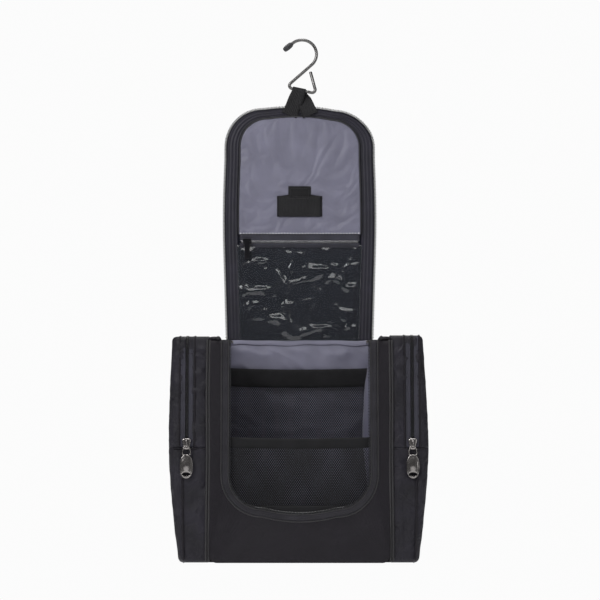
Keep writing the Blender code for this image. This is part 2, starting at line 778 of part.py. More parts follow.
def outer_x(z):
    """The side pocket's outer limit at a height: widest at the seam."""
    if z >= SEAM_Z:
        share = (z - SEAM_Z) / (POCKET_TOP_Z - SEAM_Z)
        return POCKET_IN_X + POCKET_SEAM_W + share * (POCKET_TOP_W - POCKET_SEAM_W)
    share = (SEAM_Z - z) / (SEAM_Z - BASE_Z)
    return POCKET_IN_X + POCKET_SEAM_W + share * (POCKET_BASE_W - POCKET_SEAM_W)


def pocket_outline(side, inset, low, high, inner, corner):
    """The pocket's section seen from the front, between two heights, drawn in by a wall."""
    points = [(inner, high), (outer_x(high) - inset, high)]
    if corner > 0.0:
        centre_x = outer_x(low) - inset - corner
        points.append((outer_x(low + corner) - inset, low + corner))
        for i in range(1, 5):
            angle = math.pi / 2.0 * i / 4.0
            points.append((centre_x + corner * math.cos(angle), low + corner - corner * math.sin(angle)))
    else:
        points.append((outer_x(low) - inset, low))
    points.append((inner, low))
    return [(BAG_X + side * px, pz) for px, pz in points]


def make_side_pocket(label, side, parent, flap_parent):
    wall = POCKET_WALL
    depth = (POCKET_FRONT_Y, POCKET_BACK_Y)
    hollow = (POCKET_FRONT_Y + wall, POCKET_BACK_Y - wall)
    over = 5.0 * MM

    # Lower half: a cup open at the top
    top = SEAM_Z - GAP
    outline = pocket_outline(side, 0.0, BASE_Z, top, POCKET_IN_X, POCKET_CORNER_R)
    cup = to_mesh(plate("side_pocket_" + label, "shell_black", outline, depth, parent))
    outline = pocket_outline(side, wall, BASE_Z + wall, top + over, POCKET_IN_X + wall,
                             POCKET_CORNER_R - wall)
    combine(cup, to_mesh(plate("cup_core_" + label, "shell_black", outline, hollow)), "DIFFERENCE")

    # Upper half, inner strip: front, top and back in one channel
    high = POCKET_TOP_Z
    channel = [
        (depth[0], SEAM_Z),
        (depth[0], high),
        (depth[1], high),
        (depth[1], SEAM_Z),
        (hollow[1], SEAM_Z),
        (hollow[1], high - wall),
        (hollow[0], high - wall),
        (hollow[0], SEAM_Z),
    ]
    strip_x = POCKET_IN_X + POCKET_INNER_STRIP
    profile_plate("side_strip_" + label, "shell_black", channel,
                  (BAG_X + side * POCKET_IN_X, BAG_X + side * strip_x), parent)

    # Zip coil from the seam up the front, over the top and down the back
    coil_x = BAG_X + side * (strip_x + GAP + POCKET_COIL_R)
    drop = POCKET_COIL_R
    points = [
        (coil_x, depth[0] + drop, SEAM_Z + GAP),
        (coil_x, depth[0] + drop, high - 3.0 * drop),
        (coil_x, depth[0] + 3.0 * drop, high - drop),
        (coil_x, depth[1] - 3.0 * drop, high - drop),
        (coil_x, depth[1] - drop, high - 3.0 * drop),
        (coil_x, depth[1] - drop, SEAM_Z + GAP),
    ]
    tube("side_coil_" + label, "coil_black", points, POCKET_COIL_R, parent)

    # Upper half, outer part: swings outward about the seam
    flap_in = strip_x + 2.0 * GAP + 2.0 * POCKET_COIL_R
    outline = pocket_outline(side, 0.0, SEAM_Z, high, flap_in, 0.0)
    flap = to_mesh(plate("side_flap_" + label, "shell_black", outline, depth, flap_parent))
    outline = pocket_outline(side, wall, SEAM_Z - over, high - wall, flap_in - over, 0.0)
    combine(flap, to_mesh(plate("flap_core_" + label, "shell_black", outline, hollow)), "DIFFERENCE")
    return coil_x


def make_side_slider(label, coil_x, slider_parent, link_parent, pull_parent):
    back = POCKET_FRONT_Y - 1.3 * GAP
    front = back - SLIDER_T
    top = SEAM_Z + SLIDER_H - 2.0 * MM
    low = top - SLIDER_H
    half = SLIDER_W / 2.0
    slider = box("side_slider_" + label, "slider_metal", (coil_x - half, coil_x + half),
                 (front, back), (low, top), slider_parent)
    outer = front - LINK_WIRE_D - 2.0 * RUN - BRIDGE_T
    arm = BRIDGE_T * 1.2
    upper = top - 0.8 * MM
    lower = low + 1.2 * MM
    bridge = [
        (front + 0.4 * MM, upper),
        (outer, upper - 1.0 * MM),
        (outer, lower + 1.0 * MM),
        (front + 0.4 * MM, lower),
        (front + 0.4 * MM, lower + arm),
        (outer + BRIDGE_T, lower + arm + 0.6 * MM),
        (outer + BRIDGE_T, upper - arm - 0.6 * MM),
        (front + 0.4 * MM, upper - arm),
    ]
    arch_piece = to_mesh(profile_plate("bridge_" + label, "slider_metal", bridge,
                                       (coil_x - BRIDGE_W / 2.0, coil_x + BRIDGE_W / 2.0)))
    combine(slider, arch_piece, "UNION")

    link_y = front - RUN - LINK_WIRE_D / 2.0
    link_z = lower + arm + 0.6 * MM + RUN + LINK_WIRE_D / 2.0
    foot = link_z - LINK_H
    outline = [
        (coil_x - LINK_TOP_W / 2.0, link_z),
        (coil_x + LINK_TOP_W / 2.0, link_z),
        (coil_x + LINK_FOOT_W / 2.0, foot),
        (coil_x - LINK_FOOT_W / 2.0, foot),
    ]
    tube("pull_link_" + label, "pull_metal", [(px, link_y, pz) for px, pz in outline],
         LINK_WIRE_D / 2.0, link_parent, True)

    # Pull tab: a rounded plate on a tube that runs round the link's lower bar
    barrel_r = LINK_WIRE_D / 2.0 + GAP
    rim = 0.8 * MM
    steps = 16
    half_w = PULL_W / 2.0
    points = []
    top_z = foot + barrel_r + rim
    points.append((coil_x - 3.4 * MM, top_z))
    points.append((coil_x + 3.4 * MM, top_z))
    shoulder = foot - barrel_r - rim - 1.5 * MM
    points.append((coil_x + 3.4 * MM, foot - barrel_r))
    points.append((coil_x + half_w, shoulder - 2.0 * MM))
    centre_z = top_z - PULL_H + half_w
    for i in range(steps + 1):
        angle = math.pi * i / steps
        points.append((coil_x + half_w * math.cos(angle), centre_z - half_w * math.sin(angle)))
    points.append((coil_x - half_w, shoulder - 2.0 * MM))
    points.append((coil_x - 3.4 * MM, foot - barrel_r))
    plate_y = (link_y - PULL_T / 2.0, link_y + PULL_T / 2.0)
    pull = to_mesh(plate("pull_tab_" + label, "pull_metal", points, plate_y, pull_parent))
    for name, radius, length, turn, at, action in (
        ("pull_barrel_", barrel_r + rim, 6.8 * MM, (0.0, math.pi / 2.0, 0.0), (coil_x, link_y, foot), "UNION"),
        ("pull_bore_", barrel_r, 14.0 * MM, (0.0, math.pi / 2.0, 0.0), (coil_x, link_y, foot), "DIFFERENCE"),
        ("pull_hole_", PULL_HOLE_R, 6.0 * MM, (math.pi / 2.0, 0.0, 0.0),
         (coil_x, link_y, top_z - PULL_H + 4.2 * MM), "DIFFERENCE"),
    ):
        mesh = bpy.data.meshes.new(name + label)
        bm = bmesh.new()
        bmesh.ops.create_cone(
            bm, cap_ends=True, segments=16, radius1=radius, radius2=radius, depth=length
        )
        bm.to_mesh(mesh)
        bm.free()
        other = place_object(name + label, mesh, "pull_metal", None, at, turn)
        combine(pull, other, action)


def make_main_slider(label, side, slider_parent, pull_parent):
    coil_x = MOUTH_HALF - GAP - COIL_R
    half = MAIN_SLIDER_W / 2.0
    low = TOP_COIL_Z + GAP
    rear = AXIS_Y - MAIN_END - MAIN_PULL_L - MAIN_PULL_GAP
    side_box("main_slider_" + label, "slider_metal", side, (coil_x - half, coil_x + half),
             (rear - MAIN_SLIDER_L, rear), (low, low + MAIN_SLIDER_T - GAP), slider_parent, 0.4 * MM)
    half_p = MAIN_PULL_W / 2.0
    mid = low + MAIN_SLIDER_T / 2.0
    side_box("main_pull_" + label, "pull_metal", side, (coil_x - half_p, coil_x + half_p),
             (rear + MAIN_PULL_GAP, rear + MAIN_PULL_GAP + MAIN_PULL_L), (mid - MAIN_PULL_T / 2.0, mid + MAIN_PULL_T / 2.0),
             pull_parent, 0.3 * MM)


def build():
    clear_scene()
    make_hook()
    bar_place = (BAG_X, 0.0, bar_z(BAG_X))
    loop = pivot("loop_pivot", bar_place)
    make_loop(loop)
    lid_front = pivot("lid_front_pivot", (BAG_X, AXIS_Y - 2.2 * MM, LID_TOP_Z), loop)
    make_lid_front(lid_front)
    keeper_y = LID_FACE_Y - GAP - PATCH_T - GAP - KEEPER_T / 2.0
    keeper = pivot("keeper_pivot", (BAG_X, keeper_y, LID_TOP_Z - KEEPER_DROP - GAP), lid_front)
    make_keeper(keeper)

    face = LID_FACE_Y - GAP
    coil_z = LID_TOP_Z - POCKET_DROP - POCKET_COIL_DROP
    slider_y = face - TAPE_T - GAP - 2.0 * COIL_R - GAP
    slider_x = BAG_X - POCKET_SLIDER_TRAVEL / 2.0
    pocket = pivot("pocket_slider_pivot", (slider_x, slider_y, coil_z), lid_front)
    pull_y = slider_y - SMALL_SLIDER_T - RUN - SMALL_PULL_T / 2.0
    pocket_pull = pivot("pocket_pull_pivot", (slider_x, pull_y, coil_z), pocket)
    make_pocket_slider(pocket, pocket_pull, slider_x, slider_y, coil_z)

    lid_top = pivot("lid_top_pivot", (BAG_X, AXIS_Y, FOLD_Z), lid_front)
    make_lid_top(lid_top)
    body = pivot("body_pivot", (BAG_X, AXIS_Y, HINGE_Z), lid_top)
    make_body(body)
    make_mesh_walls(body)
    for label, side in (("left", -1.0), ("right", 1.0)):
        hinge_x = BAG_X + side * (POCKET_IN_X + POCKET_SEAM_W + GAP)
        flap = pivot("flap_pivot_" + label, (hinge_x, POCKET_FRONT_Y, SEAM_Z), body)
        coil_x = make_side_pocket(label, side, body, flap)
        front = POCKET_FRONT_Y - 1.3 * GAP - SLIDER_T
        link_y = front - RUN - LINK_WIRE_D / 2.0
        low = SEAM_Z - 2.0 * MM
        link_z = low + 1.2 * MM + BRIDGE_T * 1.2 + 0.6 * MM + RUN + LINK_WIRE_D / 2.0
        slider = pivot("side_slider_pivot_" + label, (coil_x, front, SEAM_Z), body)
        link = pivot("pull_link_pivot_" + label, (coil_x, link_y, link_z), slider)
        pull = pivot("pull_tab_pivot_" + label, (coil_x, link_y, link_z - LINK_H), link)
        make_side_slider(label, coil_x, slider, link, pull)
        main_x = BAG_X + side * (MOUTH_HALF - GAP - COIL_R)
        rear = AXIS_Y - MAIN_END - MAIN_PULL_L - MAIN_PULL_GAP
        main_z = TOP_COIL_Z + GAP + MAIN_SLIDER_T / 2.0
        main = pivot("main_slider_pivot_" + label, (main_x, rear, main_z), body)
        main_pull = pivot("main_pull_pivot_" + label, (main_x, rear + MAIN_PULL_GAP, main_z), main)
        make_main_slider(label, side, main, main_pull)


build()
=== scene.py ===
"""Looks of the hanging toiletry bag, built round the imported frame.

Lengths are in millimetres, and become metres where a mesh is made or the frame is asked.
"""
import math

import bmesh
import bpy
import numpy as np
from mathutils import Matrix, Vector, noise


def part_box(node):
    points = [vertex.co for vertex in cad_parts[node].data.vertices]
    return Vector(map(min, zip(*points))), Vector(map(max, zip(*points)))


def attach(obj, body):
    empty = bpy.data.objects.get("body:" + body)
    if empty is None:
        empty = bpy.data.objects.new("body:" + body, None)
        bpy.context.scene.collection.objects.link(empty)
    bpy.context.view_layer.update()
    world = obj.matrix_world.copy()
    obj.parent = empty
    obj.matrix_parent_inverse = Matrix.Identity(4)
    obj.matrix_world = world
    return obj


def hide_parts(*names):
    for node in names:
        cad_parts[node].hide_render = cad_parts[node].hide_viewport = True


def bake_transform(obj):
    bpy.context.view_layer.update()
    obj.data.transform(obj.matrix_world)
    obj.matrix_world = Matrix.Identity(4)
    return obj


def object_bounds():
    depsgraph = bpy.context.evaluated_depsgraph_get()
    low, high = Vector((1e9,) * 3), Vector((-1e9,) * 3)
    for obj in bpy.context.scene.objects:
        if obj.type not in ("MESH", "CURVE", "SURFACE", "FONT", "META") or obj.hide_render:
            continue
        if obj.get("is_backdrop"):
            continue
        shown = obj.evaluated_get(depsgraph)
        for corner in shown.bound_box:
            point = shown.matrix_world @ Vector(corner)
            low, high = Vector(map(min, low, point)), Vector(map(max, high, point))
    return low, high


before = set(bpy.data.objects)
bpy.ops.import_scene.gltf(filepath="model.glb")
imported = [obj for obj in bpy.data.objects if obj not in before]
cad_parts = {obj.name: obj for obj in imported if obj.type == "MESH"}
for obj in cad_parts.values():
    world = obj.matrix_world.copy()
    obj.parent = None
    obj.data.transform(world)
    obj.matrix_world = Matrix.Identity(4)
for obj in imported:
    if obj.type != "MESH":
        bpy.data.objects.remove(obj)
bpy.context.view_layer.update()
MM = 1000.0
FRONT = np.array([0.0, -1.0, 0.0])
BACK = np.array([0.0, 1.0, 0.0])
UP = np.array([0.0, 0.0, 1.0])
SIDES = (("left", -1.0), ("right", 1.0))


def box_mm(node):
    low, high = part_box(node)
    return np.array(low) * MM, np.array(high) * MM


def middle(node, axis):
    low, high = box_mm(node)
    return (low[axis] + high[axis]) / 2.0


# ------------------------------------------------------------------ key places, from the frame
CX = middle("back_panel", 0)
LID_TOP = box_mm("lid_front_shell")[1][2]
FOLD = (box_mm("lid_front_shell")[0][2] + box_mm("lid_top_shell")[1][2]) / 2.0
HINGE = box_mm("lid_top_shell")[0][2] - 0.3
BASE = box_mm("back_panel")[0][2]
CENTRE_HALF = (box_mm("back_panel")[1][0] - box_mm("back_panel")[0][0]) / 2.0
SEAM = box_mm("side_pocket_left")[1][2] + 0.3
POCKET_TOP = box_mm("side_strip_left")[1][2]
PANEL_FRONT, PANEL_BACK = box_mm("front_panel")[0][1], box_mm("front_panel")[1][1]
POCKET_FRONT, POCKET_BACK = box_mm("side_pocket_left")[0][1], box_mm("side_pocket_left")[1][1]
POCKET_IN = box_mm("side_pocket_right")[0][0] - CX
COIL_X = middle("side_coil_right", 0) - CX
STRIP_TOP = box_mm("side_wall_left")[1][2]
TAPE_TOP = box_mm("main_zip_tape")[1][2]
MOUTH_FOOT = box_mm("front_mesh_hem")[0][2] + 1.0
MOUTH_HALF = 74.5
FACE_Y = -2.95                 # front of the flat webbing on the lid
LID_EDGE = 15.2                # width of the lid's border


# ------------------------------------------------------------------ noise
def fbm(a, b, c=0.0, scale=20.0, seed=0.0, octaves=2):
    """Smooth noise from -1 to 1 over arrays of places."""
    a, b, c = np.broadcast_arrays(np.asarray(a, float), np.asarray(b, float), np.asarray(c, float))
    out = np.zeros(a.size)
    fa, fb, fc = a.ravel() / scale, b.ravel() / scale, c.ravel() / scale
    weight, total = 1.0, 0.0
    for k in range(octaves):
        f = 2.0 ** k
        out += weight * np.array([noise.noise((x * f + seed, y * f - seed * 1.7, z * f + seed * 0.6))
                                  for x, y, z in zip(fa, fb, fc)])
        total += weight
        weight *= 0.5
    return (out / total * 1.8).reshape(a.shape)


def folds(a, b, angle, long, short, seed):
    """Ridged creases about 0 to 1 that run along one direction, given in degrees."""
    t = math.radians(angle)
    p = (a * math.cos(t) + b * math.sin(t)) / long
    q = (-a * math.sin(t) + b * math.cos(t)) / short
    warp = fbm(p, q, 0.0, 1.3, seed + 5.0)
    n = fbm(p, q + warp * 0.5, 0.0, 1.0, seed)
    return (1.0 - np.clip(np.abs(n) * 1.5, 0.0, 1.0)) ** 2


def ramp(value):
    return np.clip(value, 0.0, 1.0)


def ease(k):
    return k * k * (3.0 - 2.0 * k)


def flat_noise(scale, seed, amount):
    """A displacement for a band: gentle noise over its face."""
    return lambda P: amount * fbm(P[:, :, 0], P[:, :, 2], 0, scale, seed)


# ------------------------------------------------------------------ lines
def unit(v):
    return v / np.linalg.norm(v, axis=-1, keepdims=True)


def line3(x, y, z):
    """Points from any mix of arrays and single values."""
    return np.stack(np.broadcast_arrays(np.asarray(x, float), y, z), axis=-1)


def lengths(points):
    return np.concatenate([[0.0], np.cumsum(np.linalg.norm(np.diff(points, axis=0), axis=1))])


def at_counts(points, count):
    """The line with this many points, evenly spaced."""
    s = lengths(points)
    at = np.linspace(0.0, s[-1], count)
    return np.stack([np.interp(at, s, points[:, k]) for k in range(3)], axis=1)


def resample(points, step):
    p = np.asarray(points, float)
    return at_counts(p, max(int(round(lengths(p)[-1] / step)), 2) + 1)


def smooth_line(points, step=1.5, rounds=2):
    """A curve through control points, by Chaikin corner cutting, resampled."""
    p = np.asarray(points, float)
    for _ in range(rounds):
        q = [p[0]]
        for a, b in zip(p[:-1], p[1:]):
            q += [a * 0.75 + b * 0.25, a * 0.25 + b * 0.75]
        p = np.array(q + [p[-1]])
    return resample(p, step)


def frames_along(points, closed=False):
    """Along, across and normal directions at each point, without twist."""
    p = np.asarray(points, float)
    t = unit(np.roll(p, -1, 0) - np.roll(p, 1, 0) if closed else np.gradient(p, axis=0))
    n = np.zeros_like(t)
    n[0] = unit(np.cross(t[0], BACK if abs(t[0][1]) < 0.9 else np.array([1.0, 0.0, 0.0])))
    for i in range(1, len(p)):
        n[i] = unit(n[i - 1] - t[i] * np.dot(n[i - 1], t[i]))
    return t, n, np.cross(t, n)


# ------------------------------------------------------------------ meshes
def make_object(name, verts, faces, uvs, mats, smooth=True):
    mesh = bpy.data.meshes.new(name)
    mesh.from_pydata([tuple(v) for v in np.asarray(verts) / MM], [], faces)
    layer = mesh.uv_layers.new(name="UVMap")
    index = np.zeros(len(mesh.loops), dtype=np.int32)
    mesh.loops.foreach_get("vertex_index", index)
    layer.data.foreach_set("uv", np.asarray(uvs, dtype=np.float32)[index].ravel())
    for m in mats if isinstance(mats, list) else [mats]:
        mesh.materials.append(m)
    if smooth:
        mesh.polygons.foreach_set("use_smooth", [True] * len(mesh.polygons))
    mesh.update()
    obj = bpy.data.objects.new(name, mesh)
    bpy.context.scene.collection.objects.link(obj)
    return obj


def edit_mesh(obj, change):
    bm = bmesh.new()
    bm.from_mesh(obj.data)
    change(bm)
    bm.to_mesh(obj.data)
    bm.free()


def weld(bm, distance):
    bmesh.ops.remove_doubles(bm, verts=bm.verts, dist=distance)


def loft(name, P, mats, closed=True, cap=True, flip=False):
    """A mesh over a grid of points: closed round its rows or open, and capped at both ends or not."""
    rows, across, _ = P.shape
    uvs = np.zeros((rows, across, 2))
    uvs[:, :, 0] = lengths(P[rows // 2, :, :])[None, :]
    uvs[:, :, 1] = lengths(P[:, across // 2, :])[:, None]
    faces = []
    for j in range(rows - 1):
        for i in range(across if closed else across - 1):
            a, b = j * across + i, j * across + (i + 1) % across
            c, d = b + across, a + across
            faces.append((a, d, c, b) if flip else (a, b, c, d))
    if cap and closed:
        first = list(range(across))
        last = [(rows - 1) * across + i for i in range(across)]
        faces += [tuple(first[::-1]), tuple(last)]
    obj = make_object(name, P.reshape(-1, 3), faces, uvs.reshape(-1, 2), mats)

    def clean(bm):
        weld(bm, 1e-6)
        if closed and cap:
            bmesh.ops.recalc_face_normals(bm, faces=bm.faces)

    edit_mesh(obj, clean)
    return obj


def open_sheet(name, P, mats, flip=False):
    return loft(name, P, mats, closed=False, flip=flip)


def two_faced(name, front, back, mats):
    return loft(name, np.concatenate([front, back[:, ::-1]], axis=1), mats)


def band(name, A, B, N, thick, mat, across=6, puff=0.0, disp=None):
    """A strip between two edge lines, its front face towards N, with a puffed and displaced face."""
    N = np.broadcast_to(N, A.shape)
    u = np.linspace(0.0, 1.0, across + 1)
    front = A[:, None, :] * (1.0 - u)[None, :, None] + B[:, None, :] * u[None, :, None]
    front = front + N[:, None, :] * (puff * np.sin(np.pi * u) ** 0.8)[None, :, None]
    if disp is not None:
        front = front + N[:, None, :] * disp(front)[:, :, None]
    return two_faced(name, front, front - N[:, None, :] * thick, mat)


def sweep(name, points, radius, mat, segs=14, closed=False, rounded=True):
    """A round cord along a line, with rounded ends."""
    p = np.asarray(points, float)
    r = np.broadcast_to(np.asarray(radius, float), (len(p),)).copy()
    if rounded and not closed:
        head = [p[0] + unit(p[0] - p[1]) * r[0] * s for s in (0.5, 0.35)]
        tail = [p[-1] + unit(p[-1] - p[-2]) * r[-1] * s for s in (0.35, 0.5)]
        r = np.concatenate([[r[0] * 0.35, r[0] * 0.8], r, [r[-1] * 0.8, r[-1] * 0.35]])
        p = np.concatenate([head, p, tail])
    _, n, b = frames_along(p, closed)
    a = np.linspace(0.0, 2.0 * np.pi, segs, endpoint=False)
    ring = np.cos(a)[None, :, None] * n[:, None, :] + np.sin(a)[None, :, None] * b[:, None, :]
    P = p[:, None, :] + ring * r[:, None, None]
    if closed:
        P = np.concatenate([P, P[:1]], axis=0)
    return loft(name, P, mat, cap=not closed)


def dashes(name, path, N, pitch, size, mat, stagger=0.0):
    """Small rounded blocks along a line: zip teeth or stitches. size is (along, across, proud)."""
    p = resample(path, pitch)
    if np.ndim(N) == 2:
        s = lengths(path)
        at = np.linspace(0.0, s[-1], len(p))
        N = np.stack([np.interp(at, s, N[:, k]) for k in range(3)], axis=1)
    else:
        N = np.broadcast_to(N, p.shape)
    t = unit(np.gradient(p, axis=0))
    w = unit(np.cross(t, N))
    la, lw, ln = size[0] / 2.0, size[1] / 2.0, size[2] / 2.0
    verts, faces = [], []
    for i in range(len(p)):
        c = p[i] + w[i] * (stagger if i % 2 else -stagger)
        o = len(verts)
        for out, tight in ((-1, 1.0), (0.35, 1.0), (1, 0.55)):
            for sa, sw in ((-1, -1), (1, -1), (1, 1), (-1, 1)):
                verts.append(c + t[i] * la * sa * tight + w[i] * lw * sw * tight + N[i] * ln * out)
        for a in (o, o + 4):
            for j in range(4):
                b = a + (j + 1) % 4
                faces.append((a + j, b, b + 4, a + j + 4))
        faces += [(o + 3, o + 2, o + 1, o), (o + 8, o + 9, o + 10, o + 11)]
    return make_object(name, verts, faces, [(v[0], v[2]) for v in verts], mat, smooth=False)


def teeth(name, path, N, pitch, size, mat):
    return dashes(name, path, N, pitch, size, mat, 0.25)


# ------------------------------------------------------------------ cloth
def points_of(obj):
    return np.array([v.co[:] for v in obj.data.vertices]) * MM


def drape(obj, held, grow, pressure, bend, cap, face, gravity):
    """Lets a sheet settle as cloth, held where it is sewn, and keeps it in front of the level called face."""
    scene = bpy.context.scene
    group = obj.vertex_groups.new(name="held")
    group.add([int(i) for i in np.nonzero(held)[0]], 1.0, "REPLACE")
    mod = obj.modifiers.new("settle", "CLOTH")
    cloth = mod.settings
    cloth.quality = 7
    cloth.mass = 0.01
    cloth.tension_stiffness = 10.0
    cloth.compression_stiffness = 10.0
    cloth.shear_stiffness = 3.0
    cloth.bending_stiffness = bend
    cloth.air_damping = 4.0
    cloth.vertex_group_mass = "held"
    cloth.shrink_min = -grow
    cloth.use_pressure = True
    cloth.uniform_pressure_force = pressure
    cloth.effector_weights.gravity = gravity
    mod.collision_settings.use_collision = False
    mod.collision_settings.use_self_collision = False
    mod.point_cache.frame_start = 1
    mod.point_cache.frame_end = 22
    for f in range(1, 23):
        scene.frame_set(f)
    shaped = obj.evaluated_get(bpy.context.evaluated_depsgraph_get())
    new = np.zeros(len(obj.data.vertices) * 3, dtype=np.float32)
    old = np.zeros_like(new)
    shaped.data.vertices.foreach_get("co", new)
    obj.data.vertices.foreach_get("co", old)
    move = (new - old).reshape(-1, 3)
    size = np.linalg.norm(move, axis=1)
    limit = cap / MM
    factor = np.where(size > 1e-9, limit * np.tanh(size / limit) / np.maximum(size, 1e-9), 1.0)
    obj.modifiers.remove(mod)
    obj.vertex_groups.remove(group)
    end = old.reshape(-1, 3) + move * factor[:, None]
    level = face / MM
    end[:, 1] = level - np.sqrt((end[:, 1] - level) ** 2 + 1e-8) + 1e-4
    obj.data.vertices.foreach_set("co", end.ravel())
    obj.data.update()
    scene.frame_set(1)


def relax(obj, held, times):
    """Evens out the small speckle that a simulation leaves, away from the sewn points."""
    def smooth(bm):
        bm.verts.ensure_lookup_table()
        loose = [bm.verts[int(i)] for i in np.nonzero(~held)[0]]
        for _ in range(times):
            bmesh.ops.smooth_vert(bm, verts=loose, factor=0.5,
                                  use_axis_x=True, use_axis_y=True, use_axis_z=True)

    edit_mesh(obj, smooth)


def thicken(obj, thick):
    sol = obj.modifiers.new("cloth", "SOLIDIFY")
    sol.thickness = thick / MM
    sol.offset = -1.0
    return sol


# ------------------------------------------------------------------ materials
def add(tree, kind, values, feeds):
    """A shader node with values on its sockets, and what feeds the others."""
    made = tree.nodes.new(kind)
    for socket, value in values.items():
        made.inputs[socket].default_value = value
    for socket, source in feeds.items():
        tree.links.new(source, made.inputs[socket])
    return made


def coords(tree, kind="Object"):
    return tree.nodes.new("ShaderNodeTexCoord").outputs[kind]


def grain(tree, **values):
    values = {key.capitalize(): value for key, value in values.items()}
    return add(tree, "ShaderNodeTexNoise", values, {"Vector": coords(tree)}).outputs["Fac"]


def ribs(tree, direction, pitch):
    """Ribs pitch millimetres apart in the piece's own lengths."""
    wave = add(tree, "ShaderNodeTexWave", {"Scale": 2.0 * math.pi / (20.0 * pitch), "Distortion": 0.0},
               {"Vector": coords(tree, "UV")})
    wave.wave_type = "BANDS"
    wave.bands_direction = direction
    wave.wave_profile = "SIN"
    return wave.outputs["Fac"]


def maths(tree, operation, a, b):
    made = tree.nodes.new("ShaderNodeMath")
    made.operation = operation
    tree.links.new(a, made.inputs[0])
    if isinstance(b, float):
        made.inputs[1].default_value = b
    else:
        tree.links.new(b, made.inputs[1])
    return made.outputs["Value"]


def bump(tree, height, strength, distance, under=None):
    feeds = {"Height": height} if under is None else {"Height": height, "Normal": under}
    return add(tree, "ShaderNodeBump", {"Strength": strength, "Distance": distance}, feeds).outputs["Normal"]


def gloss(tree, shader, factor, low, high):
    span = add(tree, "ShaderNodeMapRange", {"To Min": low, "To Max": high}, {"Value": factor})
    tree.links.new(span.outputs["Result"], shader.inputs["Roughness"])


def new_material(name, colour, rough, specular=0.5, metallic=0.0, sheen=0.0, sheen_rough=0.4):
    m = bpy.data.materials.new(name)
    m.use_nodes = True
    shader = m.node_tree.nodes["Principled BSDF"]
    for socket, value in (("Base Color", (*colour, 1.0)), ("Roughness", rough), ("Metallic", metallic),
                          ("Sheen Weight", sheen), ("Sheen Roughness", sheen_rough),
                          ("Specular IOR Level", specular)):
        shader.inputs[socket].default_value = value
    return m, m.node_tree, shader


def vary_colour(tree, shader, colour, amount, scale):
    """Base colour that drifts gently between two shades over the piece."""
    drift = grain(tree, scale=scale, detail=4.0)
    shades = add(tree, "ShaderNodeValToRGB", {}, {"Fac": drift})
    for stop, place, share in zip(shades.color_ramp.elements, (0.3, 0.72), (1.0 - amount, 1.0 + amount)):
        stop.position = place
        stop.color = (*[c * share for c in colour], 1.0)
    tree.links.new(shades.outputs["Color"], shader.inputs["Base Color"])
    return drift


def weave(name, colour, rough, pitch, strength, amount, specular, sheen=0.01, rough_low=None,
          sheen_rough=0.4, crumple=0.0):
    """Woven cloth: warp and weft ribs from its own lengths, soft dents, and drift in colour and gloss."""
    m, tree, shader = new_material(name, colour, rough, specular, 0.0, sheen, sheen_rough)
    drift = vary_colour(tree, shader, colour, amount, 35.0)
    threads = maths(tree, "MULTIPLY", ribs(tree, "X", pitch), ribs(tree, "Y", pitch))
    dents = None
    if crumple:
        dents = bump(tree, grain(tree, scale=42.0, detail=2.5, distortion=0.8), 1.0, crumple)
    tree.links.new(bump(tree, threads, strength, 0.0003, dents), shader.inputs["Normal"])
    if rough_low is not None:
        gloss(tree, shader, drift, rough_low, rough)
    return m


def ribbed(name, colour, rough, pitch, strength, specular, cross, direction="X", sheen=0.02):
    """Tape, webbing or elastic: bold ribs one way and a fine weave the other."""
    m, tree, shader = new_material(name, colour, rough, specular, 0.0, sheen)
    vary_colour(tree, shader, colour, 0.25, 60.0)
    fine = maths(tree, "MULTIPLY", ribs(tree, "Y" if direction == "X" else "X", pitch * 0.55), cross)
    height = maths(tree, "ADD", ribs(tree, direction, pitch), fine)
    tree.links.new(bump(tree, height, strength, 0.0004), shader.inputs["Normal"])
    return m


def plain(name, colour, rough, specular, metallic=0.0, fine=900.0, strength=0.1, amount=0.2, span=0.1):
    """Moulded plastic, rubber or plated metal with fine grain and uneven gloss."""
    m, tree, shader = new_material(name, colour, rough, specular, metallic)
    drift = vary_colour(tree, shader, colour, amount, 50.0)
    tree.links.new(bump(tree, grain(tree, scale=fine), strength, 0.0002), shader.inputs["Normal"])
    gloss(tree, shader, drift, max(rough - span, 0.05), rough + span)
    return m


def make_fuzz():
    m, tree, shader = new_material("loop_pile", (0.010, 0.0098, 0.0115), 0.9, 0.2, 0.0, 0.06, 0.6)
    vary_colour(tree, shader, (0.0115, 0.011, 0.013), 0.5, 900.0)
    tree.links.new(bump(tree, grain(tree, scale=1500.0, detail=6.0), 0.9, 0.0006), shader.inputs["Normal"])
    return m


def make_film():
    """Clear soft film: a thin dark haze with sharp glints."""
    m, tree, shader = new_material("clear_film", (0.030, 0.034, 0.044), 0.1, 0.8)
    shader.inputs["Alpha"].default_value = 0.38
    shader.inputs["Coat Weight"].default_value = 0.6
    shader.inputs["Coat Roughness"].default_value = 0.05
    waves = grain(tree, scale=60.0, detail=2.0)
    tree.links.new(bump(tree, waves, 0.12, 0.002), shader.inputs["Normal"])
    gloss(tree, shader, waves, 0.07, 0.2)
    return m


